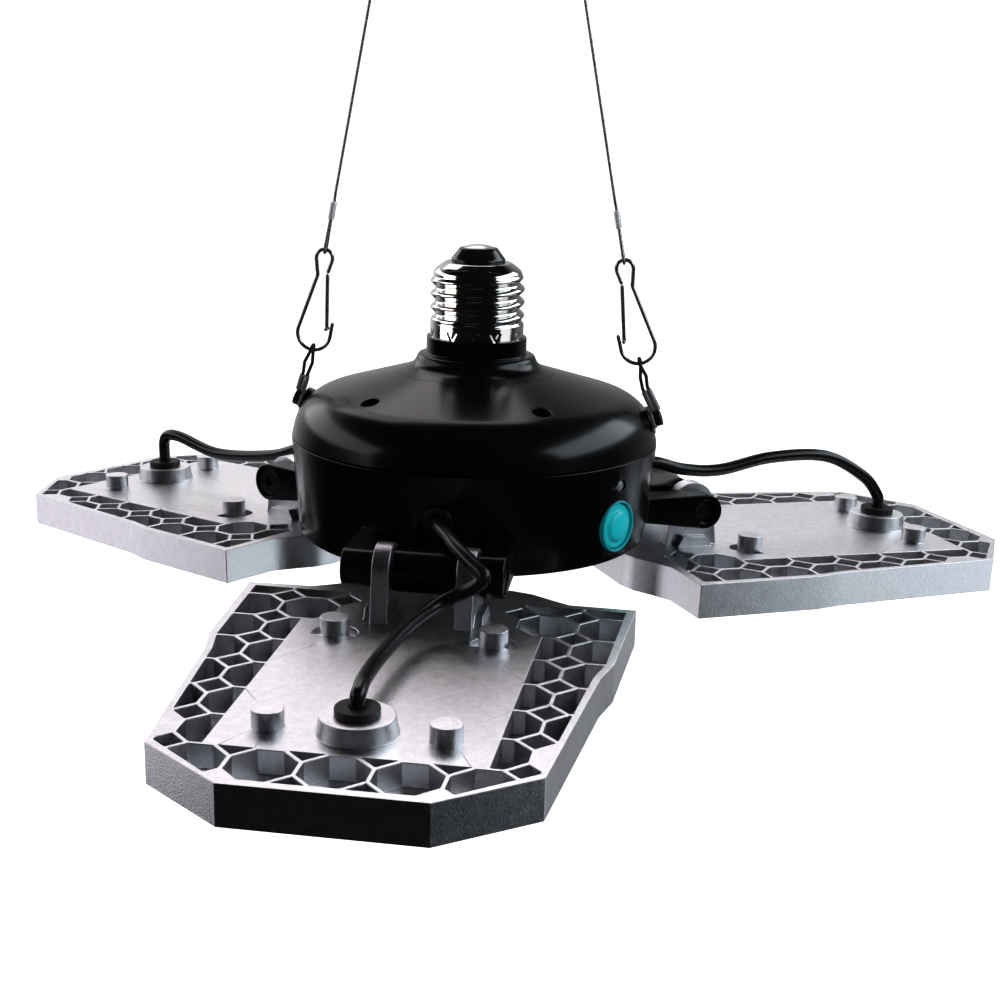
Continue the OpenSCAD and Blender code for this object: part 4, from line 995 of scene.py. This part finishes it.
def makeFloor():
    bm = bmesh.new()
    bmesh.ops.create_circle(bm, cap_ends=True, segments=96, radius=studio["floorRadius"])
    bmesh.ops.translate(bm, verts=bm.verts, vec=(0, 0, studio["floor"]))
    mesh = bpy.data.meshes.new("floor")
    bm.to_mesh(mesh)
    bm.free()
    floor = bpy.data.objects.new("floor", mesh)
    bpy.context.scene.collection.objects.link(floor)
    shader = newMaterial("floorPaint")[1]
    shader.inputs["Base Color"].default_value = studio["floorTone"]
    shader.inputs["Roughness"].default_value = studio["floorRoughness"]
    shader.inputs["Emission Color"].default_value = (1, 1, 1, 1)
    shader.inputs["Emission Strength"].default_value = 1.0
    mesh.materials.append(materials["floorPaint"])
    floor.visible_glossy = False
    floor.visible_diffuse = False


def addSoftbox(name, direction, distance, size, radiance, tint, glossy=True, seenBy=None):
    data = bpy.data.lights.new(name, "AREA")
    data.shape = "RECTANGLE"
    data.size, data.size_y = size
    data.energy = radiance * math.pi * size[0] * size[1]
    data.color = tint
    lamp = bpy.data.objects.new(name, data)
    way = Vector(direction).normalized()
    lamp.location = Vector(studio["aim"]) + way * distance
    lamp.rotation_mode = "QUATERNION"
    lamp.rotation_quaternion = (-way).to_track_quat("-Z", "Y")
    lamp.visible_camera = False
    lamp.visible_glossy = glossy
    if seenBy:
        lamp.light_linking.receiver_collection = seenBy
    bpy.context.scene.collection.objects.link(lamp)


def addRange(tree, at, source, span, interpolation="SMOOTHSTEP"):
    node = addNode(tree, "ShaderNodeMapRange", at, interpolation_type=interpolation)
    for label, value in zip(("From Min", "From Max", "To Min", "To Max"), span):
        node.inputs[label].default_value = value
    tree.links.new(source, node.inputs["Value"])
    return node.outputs["Result"]


def addMath(tree, at, operation, first, second):
    node = addNode(tree, "ShaderNodeMath", at, operation=operation)
    for socket, value in zip(node.inputs, (first, second)):
        if isinstance(value, float):
            socket.default_value = value
        else:
            tree.links.new(value, socket)
    return node.outputs[0]


def makeWorld():
    # white to the camera; to the object a dark room with a bright backdrop behind it, brighter on the left
    world = bpy.data.worlds.new("studio")
    bpy.context.scene.world = world
    world.use_nodes = True
    tree = world.node_tree
    tree.nodes.clear()
    out = addNode(tree, "ShaderNodeOutputWorld", (1000, 0))
    mix = addNode(tree, "ShaderNodeMixShader", (800, 0))
    path = addNode(tree, "ShaderNodeLightPath", (300, 300))
    seen = addNode(tree, "ShaderNodeBackground", (600, 0))
    seen.inputs["Color"].default_value = (1, 1, 1, 1)
    lit = addNode(tree, "ShaderNodeBackground", (600, -200))
    where = addNode(tree, "ShaderNodeTexCoord", (-900, 0))
    parts = addNode(tree, "ShaderNodeSeparateXYZ", (-700, 0))
    tree.links.new(where.outputs["Generated"], parts.inputs[0])
    x, y, z = parts.outputs
    rise = addRange(tree, (-450, 300), z, room["rise"])
    fall = addRange(tree, (-450, 100), z, room["fall"])
    back = addRange(tree, (-450, -100), y, room["back"])
    aside = addRange(tree, (-450, -300), x, room["aside"], "LINEAR")
    under = addRange(tree, (-450, -500), z, room["under"])
    glow = addMath(tree, (-50, 200), "MULTIPLY", addMath(tree, (-250, 200), "MULTIPLY", rise, fall),
                   addMath(tree, (-250, -100), "MULTIPLY", back, aside))
    soft = addMath(tree, (150, -300), "MULTIPLY_ADD", path.outputs["Is Diffuse Ray"], room["diffuse"])
    soft.node.inputs[2].default_value = room["glossy"]
    total = addMath(tree, (400, -100), "ADD", addMath(tree, (200, 0), "ADD", glow, under), soft)
    tree.links.new(total, lit.inputs["Strength"])
    tree.links.new(path.outputs["Is Camera Ray"], mix.inputs["Fac"])
    tree.links.new(lit.outputs[0], mix.inputs[1])
    tree.links.new(seen.outputs[0], mix.inputs[2])
    tree.links.new(mix.outputs[0], out.inputs["Surface"])


makeFloor()
makeWorld()
for facts in softboxes:
    addSoftbox(*facts)
for boxes, names in ((lowBoxes, bare), (baseBoxes, plated)):
    lit = bpy.data.collections.new(boxes[0][0] + "Pieces")
    for obj in list(bpy.context.scene.objects):
        if obj.type == "MESH" and any(m and m.name in names for m in obj.data.materials):
            lit.objects.link(obj)
    for facts in boxes:
        addSoftbox(*facts, seenBy=lit)
for facts in fills:
    addSoftbox(*facts, glossy=False)
settings = bpy.context.scene.view_settings
settings.view_transform = "Standard"
settings.look = "None"
settings.exposure = studio["exposure"]
settings.gamma = studio["gamma"]
print("studio set")
